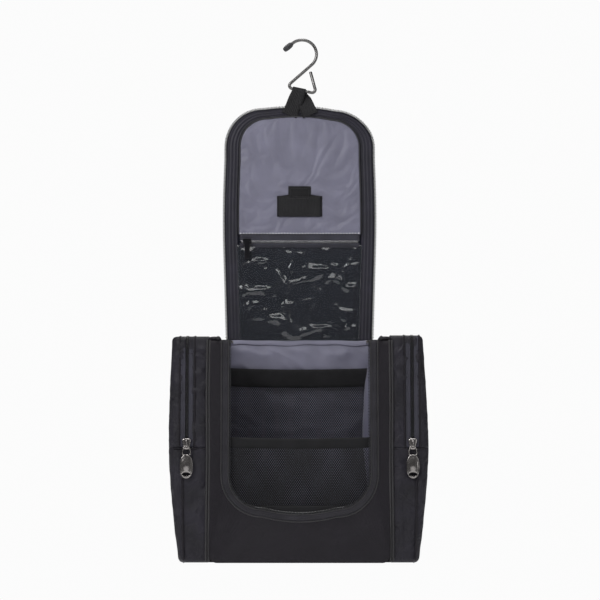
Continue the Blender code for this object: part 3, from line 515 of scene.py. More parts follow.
SHELL = weave("shell_cloth", (0.0084, 0.0068, 0.0104), 0.64, 0.95, 0.6, 0.14, 0.24,
              rough_low=0.5, crumple=0.002)
# Side-pocket cloth: its strong colour drift (amount 0.42) is painted highlight and painted shade. It lays
# lighter wrinkle highlights and darker shaded patches over the pockets, on top of the cloth's own uneven tone.
POCKET_CLOTH_PAINTED_SHADE = weave("pocket_cloth", (0.0105, 0.0092, 0.0150), 0.58, 0.95, 0.6, 0.42, 0.28,
                     rough_low=0.4, crumple=0.006)
RIM = ribbed("rim_tape", (0.0160, 0.0148, 0.0200), 0.55, 1.5, 0.9, 0.28, 0.3)
SHELL_IN = weave("shell_inside", (0.010, 0.0098, 0.0120), 0.75, 0.9, 0.3, 0.3, 0.22, sheen=0.02)
BACKING = weave("backing_cloth", (0.0058, 0.0072, 0.0118), 0.8, 0.9, 0.08, 0.25, 0.1, sheen=0.0)
LINING = weave("lining_nylon", (0.150, 0.148, 0.205), 0.5, 0.55, 0.22, 0.12, 0.5, sheen=0.10,
               rough_low=0.34, sheen_rough=0.3)
WEBBING = ribbed("webbing", (0.0095, 0.0092, 0.0108), 0.65, 1.6, 0.8, 0.3, 0.6, sheen=0.03)
BORDER = ribbed("border_tape", (0.0125, 0.0114, 0.0205), 0.5, 2.6, 1.0, 0.33, 0.15)
TAPE = ribbed("zip_tape", (0.0270, 0.0262, 0.0390), 0.5, 1.5, 0.9, 0.35, 0.3, sheen=0.03)
COIL = plain("zip_coil", (0.022, 0.022, 0.024), 0.34, 0.55, fine=700.0)
# Pocket zip teeth: the half-metallic finish is their own. The light grey colour along the whole row is a painted
# highlight that stands for glints on otherwise dark teeth.
TEETH_PAINTED_GLINT = plain("pocket_teeth", (0.34, 0.34, 0.36), 0.24, 0.7, 0.5, 700.0)
ELASTIC = ribbed("elastic", (0.0085, 0.0083, 0.0098), 0.7, 1.0, 0.8, 0.25, 0.5, "Y")
NET = plain("net_cord", (0.010, 0.010, 0.012), 0.6, 0.3)
PIPING = ribbed("piping_cloth", (0.014, 0.013, 0.0155), 0.5, 1.1, 0.5, 0.45, 0.4, "Y", 0.05)
THREAD = plain("thread_dark", (0.02, 0.02, 0.023), 0.55, 0.4)
THREAD_LIGHT = plain("thread_light", (0.62, 0.62, 0.68), 0.55, 0.4)
STEEL = plain("hook_steel", (0.16, 0.157, 0.155), 0.24, 0.5, 1.0, 1400.0, 0.05, 0.2, 0.07)
STEEL.node_tree.nodes["Principled BSDF"].inputs["Specular Tint"].default_value = (0.25, 0.25, 0.25, 1.0)
DARK_METAL = plain("black_plating", (0.030, 0.030, 0.034), 0.32, 0.5, 1.0, 900.0, 0.08, 0.25, 0.09)
GUN = plain("gunmetal", (0.27, 0.255, 0.25), 0.2, 0.5, 1.0, 900.0, 0.08, 0.25, 0.09)
RUBBER = plain("tip_rubber", (0.030, 0.030, 0.033), 0.42, 0.4, fine=700.0, strength=0.2)
FUZZ = make_fuzz()
FILM = make_film()


def put(obj, body, *nodes):
    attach(obj, body)
    if nodes:
        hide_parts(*nodes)
    return obj


def on_lid(obj, slot, *nodes):
    """The piece covers both halves of the lid. Its place is baked into its mesh, and the frame's pieces it
    replaces are hidden.
    """
    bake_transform(obj)
    if nodes:
        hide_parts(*nodes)


def recolour(mat, *names):
    for name in names:
        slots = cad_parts[name].data.materials
        slots.clear()
        slots.append(mat)


# ------------------------------------------------------------------ hook
BAR_Z = -56.3                  # height of the slanted bar at the hook's middle
BAR_SLOPE = math.radians(11.9)
BOW_R, BEND_R = 16.3, 3.4


def turned(angle):
    return np.array([math.cos(angle), math.sin(angle)])


def hook_path():
    """The wire from its tip over the bow, down the shank, along the bar and up the free end."""
    centre = np.array([0.0, -14.8])
    left = np.array([-17.9, BAR_Z + math.tan(BAR_SLOPE) * 17.9])
    right = np.array([16.1, BAR_Z - math.tan(BAR_SLOPE) * 16.1])
    away = left - centre
    leave = math.atan2(away[1], away[0]) + math.acos(BOW_R / np.linalg.norm(away))
    tip = math.radians(130.0)
    tangent = np.array([-math.sin(tip), math.cos(tip)])
    start = centre + BOW_R * turned(tip)
    points = [start + tangent * s for s in np.linspace(11.0, 1.0, 6)]
    points += [centre + BOW_R * turned(a) for a in np.linspace(tip, leave, 60)]
    free = right + 25.0 * turned(math.radians(105.0))
    for before, corner, after in ((points[-1], left, right), (left, right, free)):
        e, f = unit(before - corner), unit(after - corner)
        half = math.acos(np.clip(np.dot(e, f), -1.0, 1.0)) / 2.0
        c = corner + unit(e + f) * BEND_R / math.sin(half)
        p0 = corner + e * BEND_R / math.tan(half) - c
        p1 = corner + f * BEND_R / math.tan(half) - c
        turn = math.acos(np.clip(np.dot(p0, p1) / BEND_R ** 2, -1.0, 1.0))
        for q in np.linspace(0.0, 1.0, 14):
            points.append(c + (p0 * math.sin((1 - q) * turn) + p1 * math.sin(q * turn)) / math.sin(turn))
    points.append(free)
    return np.array([(p[0], 0.0, p[1]) for p in points]), start, tangent


wire, tip_start, tip_dir = hook_path()
put(sweep("hook_wire_round", wire, 1.68, STEEL, 20), "hook", "hook_wire")
s = np.linspace(0.3, 12.5, 60)
swell = np.sqrt(ramp(1.0 - np.abs((s - 6.6) / 6.9) ** 2.6))
tip_radius = 0.5 + (2.85 - 0.36 * (0.5 + 0.5 * np.cos((s - 1.0) * 2.0 * np.pi / 1.9))) * swell
line = line3(tip_start[0] + tip_dir[0] * s, 0.0, tip_start[1] + tip_dir[1] * s)
put(sweep("hook_tip_sleeve", line, tip_radius, RUBBER, 24, rounded=False), "hook", "hook_tip")

# ------------------------------------------------------------------ webbing loop and its two tails
bar_z = BAR_Z - math.tan(BAR_SLOPE) * CX
control = [(-11.6, FACE_Y, LID_TOP - 8.9), (-9.6, FACE_Y, LID_TOP - 5.0), (-7.2, FACE_Y, LID_TOP + 1.0),
           (-4.4, -3.0, LID_TOP + 9.0), (-1.6, -2.9, bar_z - 4.0), (-0.4, -2.75, bar_z),
           (0.0, -1.6, bar_z + 2.2), (0.0, 0.0, bar_z + 2.9), (0.0, 1.6, bar_z + 2.2),
           (0.4, 2.6, bar_z), (1.7, 2.0, bar_z - 5.0), (4.6, 0.4, LID_TOP + 9.0),
           (6.3, -1.2, LID_TOP + 4.5), (7.4, -2.6, LID_TOP + 2.0), (10.2, FACE_Y, LID_TOP - 5.0),
           (12.0, FACE_Y, LID_TOP - 8.9)]
mid = smooth_line(control, 0.8) + np.array([CX, 0.0, 0.0])
arc = lengths(mid) / lengths(mid)[-1]
lean = np.radians(np.interp(arc, [0.0, 0.25, 0.42, 0.58, 0.75, 1.0],
                            [-24.0, -20.0, -11.9, -11.9, 20.0, 24.0]))
wide = line3(np.cos(lean), 0.0, np.sin(lean))
normal = unit(np.cross(frames_along(mid)[0], wide))
if normal[2][1] > 0:
    normal = -normal
half_w = np.interp(arc, [0.0, 0.3, 0.45, 0.55, 0.7, 1.0], [8.9, 8.3, 7.4, 7.4, 8.3, 8.9])[:, None]
strap = band("strap", mid - wide * half_w, mid + wide * half_w, normal, 1.15, WEBBING)
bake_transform(strap)
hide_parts("hanging_loop", "strap_ends")

# ------------------------------------------------------------------ outlines and padded panels
LID_HALF, LID_FOOT_HALF = 81.5, 79.0
LID_CORNER, MOUTH_CORNER = 42.0, 36.0
LID_TOP_EDGE = 10.6            # width of the lid's border across its top


def lid_half(z):
    """Half width of the lid: bowed a little above the fold, and narrower down to the hinge."""
    z = np.asarray(z, float)
    shoulder = LID_TOP - 60.0
    above = LID_HALF + 1.4 * np.sin(ramp((shoulder - z) / (shoulder - FOLD)) * np.pi)
    below = LID_FOOT_HALF + (LID_HALF - LID_FOOT_HALF) * ramp((z - HINGE) / (FOLD - HINGE))
    return np.where(z < FOLD, below, above)


def corner_points(half, r, level, way, crown):
    """Round a corner and on to the middle at level. way is 1 for a top and -1 for a foot."""
    centre = level - way * (crown + r)
    turn = [(half - r + r * math.cos(a), centre + way * r * math.sin(a))
            for a in np.linspace(0.0, math.pi / 2.0, 15)[1:]]
    return turn + [((half - r) * q, level - way * crown * q * q) for q in np.linspace(0.875, 0.0, 8)]


def lid_outline(inset, top_inset=None, low=None, count=46):
    """(half width, height) from the hinge up to the middle of the top."""
    top = LID_TOP - (inset if top_inset is None else top_inset)
    low = HINGE + 0.3 if low is None else low
    r, crown = LID_CORNER - 0.75 * inset, 3.0
    side = [(float(lid_half(z)) - inset, z) for z in np.linspace(low, top - crown - r, count)]
    return np.array(side + corner_points(LID_HALF - inset, r, top, 1.0, crown))


def mouth_half(inset):
    """(half width, height) down the side of the mouth and round its foot to the middle."""
    r, crown = MOUTH_CORNER - inset, 5.0
    half, foot = MOUTH_HALF - inset, MOUTH_FOOT + inset
    side = [(half, z) for z in np.linspace(STRIP_TOP, foot + crown + r, 40)]
    return np.array(side + corner_points(half, r, foot, -1.0, crown))


def panel_half():
    """The front panel's own edge, with the same number of points as the mouth."""
    low, high = box_mm("front_panel")
    half, r = (high[0] - low[0]) / 2.0, 8.0
    side = [(half, z) for z in np.linspace(STRIP_TOP, BASE + 14.0, 40)]
    return np.array(side + corner_points(half, r, BASE, -1.0, 0.0))


def outline_at(y, half):
    """The outline and its mirror image as one line at a depth."""
    both = np.array([(CX - x, z) for x, z in half] + [(CX + x, z) for x, z in half[:-1][::-1]])
    return line3(both[:, 0], y, both[:, 1])


def padded_panel(name, x, z, edge, y_front, y_back, round_r, soft, relief):
    """A closed padded panel over a grid: round at its edge, with a relief behind that fades near it."""
    full = np.sqrt(ramp(1.0 - (1.0 - ramp(edge / round_r)) ** 2))
    mid_y = (y_front + y_back) / 2.0
    front = mid_y + (y_front - mid_y) * full
    back = mid_y + (y_back - mid_y) * full + relief * ramp(edge / soft)
    return two_faced(name, line3(x, front, z), line3(x, back, z), SHELL)


# ------------------------------------------------------------------ lid
half = lid_outline(0.6)
u = np.linspace(-1.0, 1.0, 45)
u = np.sign(u) * (1.0 - (1.0 - np.abs(u)) ** 1.25)
x = CX + u * half[:, :1]
z = np.broadcast_to(half[:, 1:], x.shape)
edge = np.minimum((1.0 - np.abs(u)) * half[:, :1], np.maximum(half[-1, 1] - z, 0.0))
relief = 0.9 * fbm(x, z, 0, 45.0, 3.0) + 0.7 * folds(x, z, 70.0, 90.0, 16.0, 8.0) + 0.5
core = padded_panel("lid_shell", x, z, edge, -1.3, 2.6, 2.0, 12.0, relief)
on_lid(core, "shell_black", "lid_front_shell", "lid_top_shell")

outer = outline_at(-1.75, lid_outline(0.3))
inner = outline_at(-1.75, lid_outline(LID_EDGE, LID_TOP_EDGE))
border = band("lid_border", outer, inner, FRONT, 0.5, BORDER, 8, 0.2, flat_noise(18.0, 11.0, 0.12))
on_lid(border, "zip_black", "lid_front_tape", "lid_top_tape")
coil = teeth("lid_teeth", outline_at(-1.2, lid_outline(-1.0)), FRONT, 1.5, (0.95, 2.3, 1.7), COIL)
on_lid(coil, "coil_black", "lid_front_coil", "lid_top_coil_left", "lid_top_coil_right")
cord = sweep("lid_coil_cord", outline_at(-1.7, lid_outline(0.1)), 0.45, COIL, 8)
on_lid(cord, "coil_black")

# Lining: thin nylon over foam, with soft slanting wrinkles
tape_low, tape_high = box_mm("pocket_zip_tape")
ZIP_TOP = tape_high[2]
ZIP_HALF = (tape_high[0] - tape_low[0]) / 2.0
patch_low, patch_high = box_mm("hook_loop_patch")


def under_patch(x, z):
    return (np.abs(x - CX) < 23.5) & (z > patch_low[2] + 1.0) & (z < patch_high[2] - 1.0)


half = lid_outline(LID_EDGE, LID_TOP_EDGE, ZIP_TOP - 0.5, 60)
u = np.linspace(-1.0, 1.0, 85)
x = CX + u * half[:, :1]
z = np.broadcast_to(half[:, 1:], x.shape)
edge = np.minimum((1.0 - np.abs(u)) * half[:, :1], np.minimum(half[-1, 1] - z, z - half[0, 1]))
relief = 0.3 * fbm(x, z, 0, 40.0, 4.0) + 0.5 * folds(x, z, 58.0, 80.0, 26.0, 21.0)
lining = open_sheet("lid_lining", line3(x, -2.75 - relief * ramp(edge / 9.0) * ~under_patch(x, z), z), LINING)
spots = points_of(lining)
off, up = np.abs(spots[:, 0] - CX), spots[:, 2]
held = (off > np.interp(up, half[:, 1], half[:, 0]) - 1.2) | (up < ZIP_TOP + 0.6)
held |= (up > LID_TOP - 12.6 - 3.0 * (off / 30.0) ** 2) | under_patch(spots[:, 0], up)
drape(lining, held, 0.014, -0.8, 0.6, 3.4, -2.7, 0.4)
thicken(lining, 0.8)
put(lining, "lid_front", "lid_front_lining")
put(sweep("lining_lip", outline_at(-3.0, lid_outline(15.0, 10.4, ZIP_TOP, 34)), 0.75, THREAD, 8), "lid_front")
put(dashes("lid_stitches", outline_at(FACE_Y, lid_outline(12.8, 8.6, ZIP_TOP, 34)), FRONT, 3.0,
           (2.0, 0.45, 0.4), THREAD), "lid_front")

# Dark backing of the clear pocket, and the film itself
z = np.linspace(ZIP_TOP - 3.0, HINGE + 1.0, 60)
reach = lid_half(z) - 14.8
backing = band("pocket_backing", line3(CX - reach, -1.75, z), line3(CX + reach, -1.75, z),
               FRONT, 0.4, BACKING, 30)
on_lid(backing, "shell_black", "pocket_backing_front", "pocket_backing_top")

film_low, film_high = HINGE + 1.6, ZIP_TOP - 12.6
z = np.linspace(film_low, film_high, 84)[:, None]
x = CX + np.linspace(-1.0, 1.0, 97) * (lid_half(z) - 13.2)
z = np.broadcast_to(z, x.shape)
edge = np.minimum(np.minimum(z - film_low, film_high - z), (lid_half(z) - 13.2) - np.abs(x - CX))
relief = (0.3 + 0.45 * folds(x, z, 14.0, 60.0, 17.0, 41.0) + 0.4 * folds(x, z, 72.0, 50.0, 22.0, 52.0)
          + 0.4 * fbm(x, z, 0, 26.0, 9.0)) * ramp(edge / 8.0)
film = open_sheet("clear_pocket", line3(x, -3.1 - relief, z), FILM)
spots = points_of(film)
off, up = np.abs(spots[:, 0] - CX), spots[:, 2]
held = (off > lid_half(up) - 14.6) | (up < film_low + 1.2) | (up > film_high - 1.2)
drape(film, held, 0.022, -0.4, 1.2, 2.6, -3.0, 0.0)
relax(film, held, 3)
thicken(film, 0.3)
on_lid(film, "window_clear", "clear_window_front", "clear_window_top")

# Pocket zip
zip_z = middle("pocket_zip_coil", 2)


def across_lid(short, y, z, count):
    """A level line across the lid, this much shorter at each end than the pocket's zip."""
    return line3(np.linspace(CX - ZIP_HALF + short, CX + ZIP_HALF - short, count), y, z)


for label, top, low, nodes in (("upper", ZIP_TOP, zip_z + 1.1, ["pocket_zip_tape"]),
                               ("lower", zip_z - 1.1, ZIP_TOP - 15.0, [])):
    put(band("pocket_tape_" + label, across_lid(0.0, -3.35, top, 40), across_lid(0.0, -3.5, low, 40),
             FRONT, 0.5, TAPE, 5, 0.15, flat_noise(14.0, 7.0, 0.15)), "lid_front", *nodes)
put(teeth("pocket_teeth", across_lid(2.0, -3.7, zip_z, 60), FRONT, 1.3, (0.75, 2.7, 1.7), TEETH_PAINTED_GLINT),
    "lid_front", "pocket_zip_coil")
for k, (rise, y, mat) in enumerate(((0.7, -3.9, THREAD_LIGHT), (-13.4, -3.6, THREAD))):
    put(dashes("pocket_stitch_%d" % k, across_lid(1.0, y, ZIP_TOP + rise, 50), FRONT, 3.3,
               (1.7, 1.0, 0.6), mat), "lid_front")
put(sweep("lining_hem", across_lid(1.0, -3.05, ZIP_TOP - 0.6, 50), 0.5, THREAD, 8), "lid_front")

# Keeper for the stowed hook
z = np.linspace(patch_high[2], patch_low[2], 12)
put(band("base_patch", line3(patch_low[0] - 1.0, -3.5, z), line3(patch_high[0] + 1.0, -3.5, z),
         FRONT, 0.8, FUZZ, 10), "lid_front", "hook_loop_patch")
tab_low, tab_high = box_mm("keeper_tab")
shoulder = patch_high[2]
neck, blade = 12.5, (tab_high[0] - tab_low[0]) / 2.0
z = np.linspace(tab_high[2], tab_low[2], 40)
reach = np.where(z > shoulder + 0.5, neck, blade)
reach = np.where(np.abs(z - shoulder) < 0.6, (neck + blade) / 2.0, reach)
tab = band("keeper", line3(CX - reach, -4.0, z), line3(CX + reach, -4.0, z), FRONT, 0.9, WEBBING, 14, 0.0,
           lambda P: 0.75 + 0.2 * fbm(P[:, :, 0], P[:, :, 2], 0, 16.0, 14.0))
put(tab, "keeper", "keeper_tab")
w, low, top = 10.0, shoulder - 3.0, shoulder + 8.0
loop = line3([CX - w, CX + w, CX + w, CX - w, CX - w], -5.3, [low, low, top, top, low])
put(dashes("keeper_stitches", loop, FRONT, 2.4, (1.7, 0.45, 0.5), THREAD), "keeper")

# The lid's right shoulder sags a little in the photo, and the left one rises
for name in ("lid_shell", "lid_border", "lid_teeth", "lid_coil_cord", "lid_lining", "lining_lip",
             "lid_stitches"):
    for vert in bpy.data.objects[name].data.vertices:
        x, z = vert.co.x * MM - CX, vert.co.z * MM
        drop = 0.045 * max(x - 8.0, 0.0) - 0.02 * max(-x - 10.0, 0.0)
        vert.co.z -= drop * ease(min(max((z - (LID_TOP - 55.0)) / 55.0, 0.0), 1.0)) / MM

# ------------------------------------------------------------------ hinge binding
x = np.linspace(-78.5, 78.5, 60) + CX
wave = 0.7 * np.sin(x / 13.0) + 0.5 * np.sin(x / 5.7 + 1.0)
binding = band("hinge_strip", line3(x, -2.9, HINGE + 2.8 + wave * 0.4), line3(x, -4.2, HINGE - 2.6 + wave),
               FRONT, 0.6, LINING, 6, 0.5)
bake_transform(binding)
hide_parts("hinge_binding")
x = np.linspace(-79.0, 79.0, 40) + CX
rear = band("hinge_strip_back", line3(x, 2.75, HINGE - 9.0), line3(x, 2.75, HINGE + 9.0), BACK, 0.7, TAPE, 8)
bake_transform(rear)

# ------------------------------------------------------------------ body: back, bottom, side walls
low, top = BASE, HINGE - 0.5
z = np.linspace(low, top, 66)[:, None]
x = CX + np.linspace(-1.0, 1.0, 54) * CENTRE_HALF + 0.0 * z
z = np.broadcast_to(z, x.shape)
edge = np.minimum(CENTRE_HALF - np.abs(x - CX), np.minimum(z - low, top - z))
relief = 0.8 + 0.9 * fbm(x, z, 0, 50, 6.0) + 0.8 * folds(x, z, 80, 90, 20, 17.0)
shell = padded_panel("back_shell", x, z, edge, -1.5, 2.2, 2.5, 14.0, relief)
put(shell, "body", "back_panel")

low, high = box_mm("bottom_panel")
u = np.linspace(-1, 1, 60)
v = np.linspace(0, 1, 30)[:, None]
x = CX + u * CENTRE_HALF + 0.0 * v
y = low[1] - 0.2 + v * (high[1] - low[1]) + 0.0 * u
swell = np.sin(np.pi * v)
under = BASE + 0.6 - 0.99 * (1 - u ** 4) * swell + 0.4 * fbm(x, y, 0, 40, 2.0) * swell
put(two_faced("bottom_shell", line3(x, y, under), line3(x, y, BASE + 3.0), SHELL), "body", "bottom_panel")
floor = line3(CX + (x - CX) * 0.96, y, BASE + 3.75 + 0.5 * fbm(x, y, 0, 30, 12.0))
put(open_sheet("floor_lining", floor, LINING, flip=True), "body")

for label, side in SIDES:
    z = np.linspace(BASE + 3.5, STRIP_TOP - 0.1, 60)[:, None]
    y = np.linspace(PANEL_BACK + 0.4, -3.3 if side < 0 else -4.5, 40) + 0.0 * z
    z = np.broadcast_to(z, y.shape)
    put(two_faced("side_wall_shell_" + label, line3(CX + side * (CENTRE_HALF - 0.2), y, z),
                  line3(CX + side * (CENTRE_HALF - 2.4), y, z), SHELL_IN), "body", "side_wall_" + label)
    relief = 0.5 + 0.6 * folds(y, z, 80.0, 70.0, 18.0, 60.0 + side) + 0.8 * fbm(y, z, 0, 30.0, 15.0 + side)
    rise = np.sin(np.pi * ramp((z - BASE - 20.0) / (STRIP_TOP - BASE + 12.0))) ** 0.7
    deep = ease(ramp((y - PANEL_FRONT) / 60.0)) * rise * (23.0 if side > 0 else 6.0)
    inside = line3(CX + side * (CENTRE_HALF - 3.0 - relief - deep), y, z)
    put(open_sheet("side_lining_" + label, inside, LINING, side > 0), "body")
    # Strips along the top of the mouth
    y = np.linspace(PANEL_FRONT + 0.2, -3.0, 40)
    put(band("top_strip_" + label, line3(CX + side * CENTRE_HALF, y, STRIP_TOP),
             line3(CX + side * 77.4, y, STRIP_TOP), UP, 2.6, SHELL), "body")
    put(band("centre_top_" + label, line3(CX + side * (CENTRE_HALF + 0.6), y, TAPE_TOP + 2.6),
             line3(CX + side * 83.4, y, TAPE_TOP + 2.2), UP, 3.0, SHELL, 8, 0.9,
             lambda P: 0.4 * fbm(P[:, :, 0], P[:, :, 1], 0, 14.0, 77.0)), "body")
    y = np.linspace(PANEL_FRONT - 0.2, -6.0, 40)
    rim = line3(CX + side * (86.5 + 0.6 * np.sin(y / 9.0)), y, TAPE_TOP + 1.9 + 0.4 * np.sin(y / 7.0 + side))
    put(sweep("mouth_top_welt_" + label, rim, 2.0, PIPING, 12), "body")

# Back lining, gently draped
low, high = box_mm("back_lining")
x, z = np.meshgrid(np.linspace(low[0], high[0], 90), np.linspace(low[2], HINGE - 1.6, 90))
soft = ramp((high[0] - np.abs(x - CX) - CX) / 10.0) * ramp((HINGE - 2.0 - z) / 7.0)
slack = (0.8 + 2.2 * folds(x, z, -28.0, 55.0, 20.0, 71.0) + 0.8 * fbm(x, z, 0, 32.0, 3.3)) * soft
cloth = open_sheet("back_lining_cloth", line3(x, -3.0 - slack, z), LINING)
put(cloth, "body", "back_lining")


# ------------------------------------------------------------------ front panel and mouth
def front_relief(P):
    """Soft dents, with deeper folds and a bulge below the mouth."""
    x, z = P[:, :, 0], P[:, :, 2]
    below = 1.3 * ramp((MOUTH_FOOT - 4.0 - z) / 25.0)
    bulge = np.sin(np.pi * ramp((z - BASE) / (MOUTH_FOOT - BASE)))
    return 0.4 * fbm(x, z, 0, 25.0, 31.0) + below * (folds(x, z, 24.0, 80.0, 18.0, 35.0) + bulge)


def mouth_line(inset, proud):
    return outline_at(PANEL_FRONT - proud, mouth_half(inset))


put(band("front_shell", mouth_line(-1.6, 0.1), outline_at(PANEL_FRONT - 0.1, panel_half()), FRONT, 2.7, SHELL,
         14, 0.0, front_relief), "body", "front_panel")
put(band("mouth_tape", mouth_line(0.2, 0.3), mouth_line(-7.2, 0.3), FRONT, 0.5, RIM, 8, 0.4,
         flat_noise(12.0, 91.0, 0.1)), "body", "main_zip_tape")
put(teeth("mouth_teeth", mouth_line(1.0, 0.1), FRONT, 1.5, (0.95, 2.2, 1.6), COIL), "body", "main_zip_coil")
put(sweep("mouth_cord", mouth_line(-8.0, 0.05), 0.85, PIPING, 10), "body")
put(sweep("mouth_rim", mouth_line(-0.6, 0.15), 0.75, PIPING, 10), "body")
put(dashes("mouth_stitches", mouth_line(-5.4, 0.68), FRONT, 2.8, (1.9, 0.4, 0.3), THREAD), "body")
for label, side in SIDES:
    y = np.linspace(PANEL_FRONT + 0.4, -8.0, 40)
    put(band("mouth_tape_top_" + label, line3(CX + side * 77.2, y, TAPE_TOP),
             line3(CX + side * 86.0, y, TAPE_TOP), UP, 0.5, RIM), "body")
    put(teeth("mouth_teeth_top_" + label, line3(CX + side * 76.2, y, TAPE_TOP - 0.3), UP, 1.5,
              (0.95, 2.2, 1.5), COIL), "body")
    z = np.linspace(BASE + 1.5, STRIP_TOP + 0.2, 60)
    for k, (reach, nodes) in enumerate(((CENTRE_HALF - 0.5, ["piping_" + label]), (CENTRE_HALF + 2.2, []))):
        cord = line3(CX + side * (reach + 0.25 * np.sin(z / 23.0)), POCKET_FRONT - 1.9 + 0.5 * k, z)
        put(sweep("piping_cord_%s_%d" % (label, k), cord, 1.3, PIPING, 10), "body", *nodes)


# ------------------------------------------------------------------ nets, elastic and hem
def net(name, x0, x1, z0, z1, depth):
    """Diamond net: two sets of slanting cords that cross, each a thin ribbon."""
    step, slope, half_cord = 2.35, 1.45, 0.31
    run = math.hypot(1.0, slope)
    wide, tall = x1 - x0, z1 - z0
    verts, faces = [], []
    for layer, way in ((0, 1.0), (1, -1.0)):
        for start in np.arange(-tall / slope, wide, step):
            xa, xb = max(start, 0.0), min(start + tall / slope, wide)
            if xb - xa < 1.0:
                continue
            n = max(int((xb - xa) / 5.0), 2)
            xs = np.linspace(xa, xb, n + 1)
            px = x0 + xs if way > 0 else x1 - xs
            pz = z0 + (xs - start) * slope
            py = depth(px, pz) - 0.12 * layer
            dx, dz = half_cord * slope / run, half_cord / run * way
            o = len(verts)
            for a, b, c in zip(px, py, pz):
                verts += [(a - dx, b, c + dz), (a + dx, b, c - dz)]
            faces += [(q, q + 1, q + 3, q + 2) for q in range(o, o + 2 * n, 2)]
    return make_object(name, verts, faces, [(v[0], v[2]) for v in verts], NET, smooth=False)


def gathered(name, node, x, reach, drop, wave, rate, thick, across, puff):
    """An elastic band that dips in the middle and is gathered along its length."""
    low, high = box_mm(node)
    dip = drop * (1 - ((x - CX) / reach) ** 2)
    y, gather = low[1] - 0.1, wave * np.sin(x * rate)
    put(band(name, line3(x, y + gather, high[2] - dip), line3(x, y - gather, low[2] - dip),
             FRONT, thick, ELASTIC, across, puff), "body", node)


mesh_low, mesh_high = box_mm("front_mesh")


def front_net_depth(x, z):
    v = ramp((z - mesh_low[2]) / (mesh_high[2] - mesh_low[2]))
    u = ramp(1 - ((x - CX) / 90.0) ** 2)
    return mesh_low[1] + 0.4 - 0.5 * np.sin(np.pi * v) * u + 0.3 * np.sin(x / 17.0) * v


put(net("front_net", CX - 78.0, CX + 78.0, MOUTH_FOOT - 3.0, box_mm("front_mesh_band")[0][2] + 1.0,
        front_net_depth), "body", "front_mesh")
gathered("front_band", "front_mesh_band", np.linspace(CX - 79.0, CX + 79.0, 120),
         79.0, 1.6, 0.25, 1.9, 1.0, 5, 0.3)
low, high = box_mm("front_mesh_hem")
foot = mouth_half(0.6)[::-1][:22]      # the middle first, and out round the corner
x = np.linspace(-60.0, 60.0, 60)
under = np.minimum(np.interp(np.abs(x), foot[:, 0], foot[:, 1]), high[2] - 0.3)
put(band("front_hem", line3(CX + x, low[1] + 0.1, high[2]), line3(CX + x, low[1] + 0.1, under),
         FRONT, 1.2, ELASTIC, 4, 0.2), "body", "front_mesh_hem")

rear_low, rear_high = box_mm("back_mesh")


def back_net_depth(x, z):
    v = ramp((z - rear_low[2]) / (rear_high[2] - rear_low[2]))
    u = ramp(1 - ((x - CX) / 95.0) ** 2)
    sway = 0.7 * np.sin(x / 19.0 + z / 40.0) - 1.2 * np.sin(np.pi * v)
    return (rear_low[1] + rear_high[1]) / 2 + sway * u


low, high = box_mm("back_mesh_band")
put(net("back_net", rear_low[0] + 0.5, rear_high[0] - 0.5, rear_low[2], low[2] + 1.0, back_net_depth),
    "body", "back_mesh")
gathered("back_band", "back_mesh_band", np.linspace(low[0], high[0], 130),
         93.0, 2.2, 0.35, 1.6, 1.1, 6, 0.4)

# ------------------------------------------------------------------ side pockets
FLAP_OUT = box_mm("side_pocket_right")[1][0] - CX      # half width at the seam
STRIP_COLUMNS = 12                                     # columns of the grid on the body's side of the coil


def x_out(z, side):
    """Outer face of a pocket at a height: narrower above and below the seam. The left one is puffier."""
    z = np.asarray(z, float)
    up, down = ramp((z - SEAM) / (POCKET_TOP - SEAM)), ramp((SEAM - z) / (SEAM - BASE))
    above = FLAP_OUT + up ** 1.5 * (POCKET_IN + 34.5 - FLAP_OUT)
    below = FLAP_OUT + down ** 1.5 * (POCKET_IN + 28.5 - FLAP_OUT)
    return np.where(z >= SEAM, above, below) + (2.6 + 2.6 * up if side < 0 else 0.6)


def pocket_grid(side, rows):
    """A U-shaped section for each row of (height, inset in depth, inset in width)."""
    front = np.concatenate([np.linspace(POCKET_IN, COIL_X - 1.3, STRIP_COLUMNS),
                            np.linspace(COIL_X + 1.3, COIL_X + 6.0, 4)])
    bend = np.linspace(0, math.pi / 2, 9)
    grid = []
    for z, dy, dx in rows:
        wide = float(x_out(z, side)) - dx
        y0, y1 = POCKET_FRONT + dy, POCKET_BACK - dy
        r = max(min(9.0 - 0.5 * dx, (y1 - y0) / 2.0 - 0.01), 0.05)
        line = [(min(c, wide - r), y0) for c in front]
        line += [(wide - r + r * math.sin(a), y0 + r - r * math.cos(a)) for a in bend[1:]]
        line += [(wide, y0 + r + q * (y1 - y0 - 2 * r)) for q in np.linspace(0, 1, 16)[1:-1]]
        line += [(wide - r + r * math.cos(a), y1 - r + r * math.sin(a)) for a in bend[:-1]]
        line += [(min(c, wide - r), y1) for c in front[::-1]]
        grid.append([(CX + side * x, y, z) for x, y in line])
    return np.array(grid)


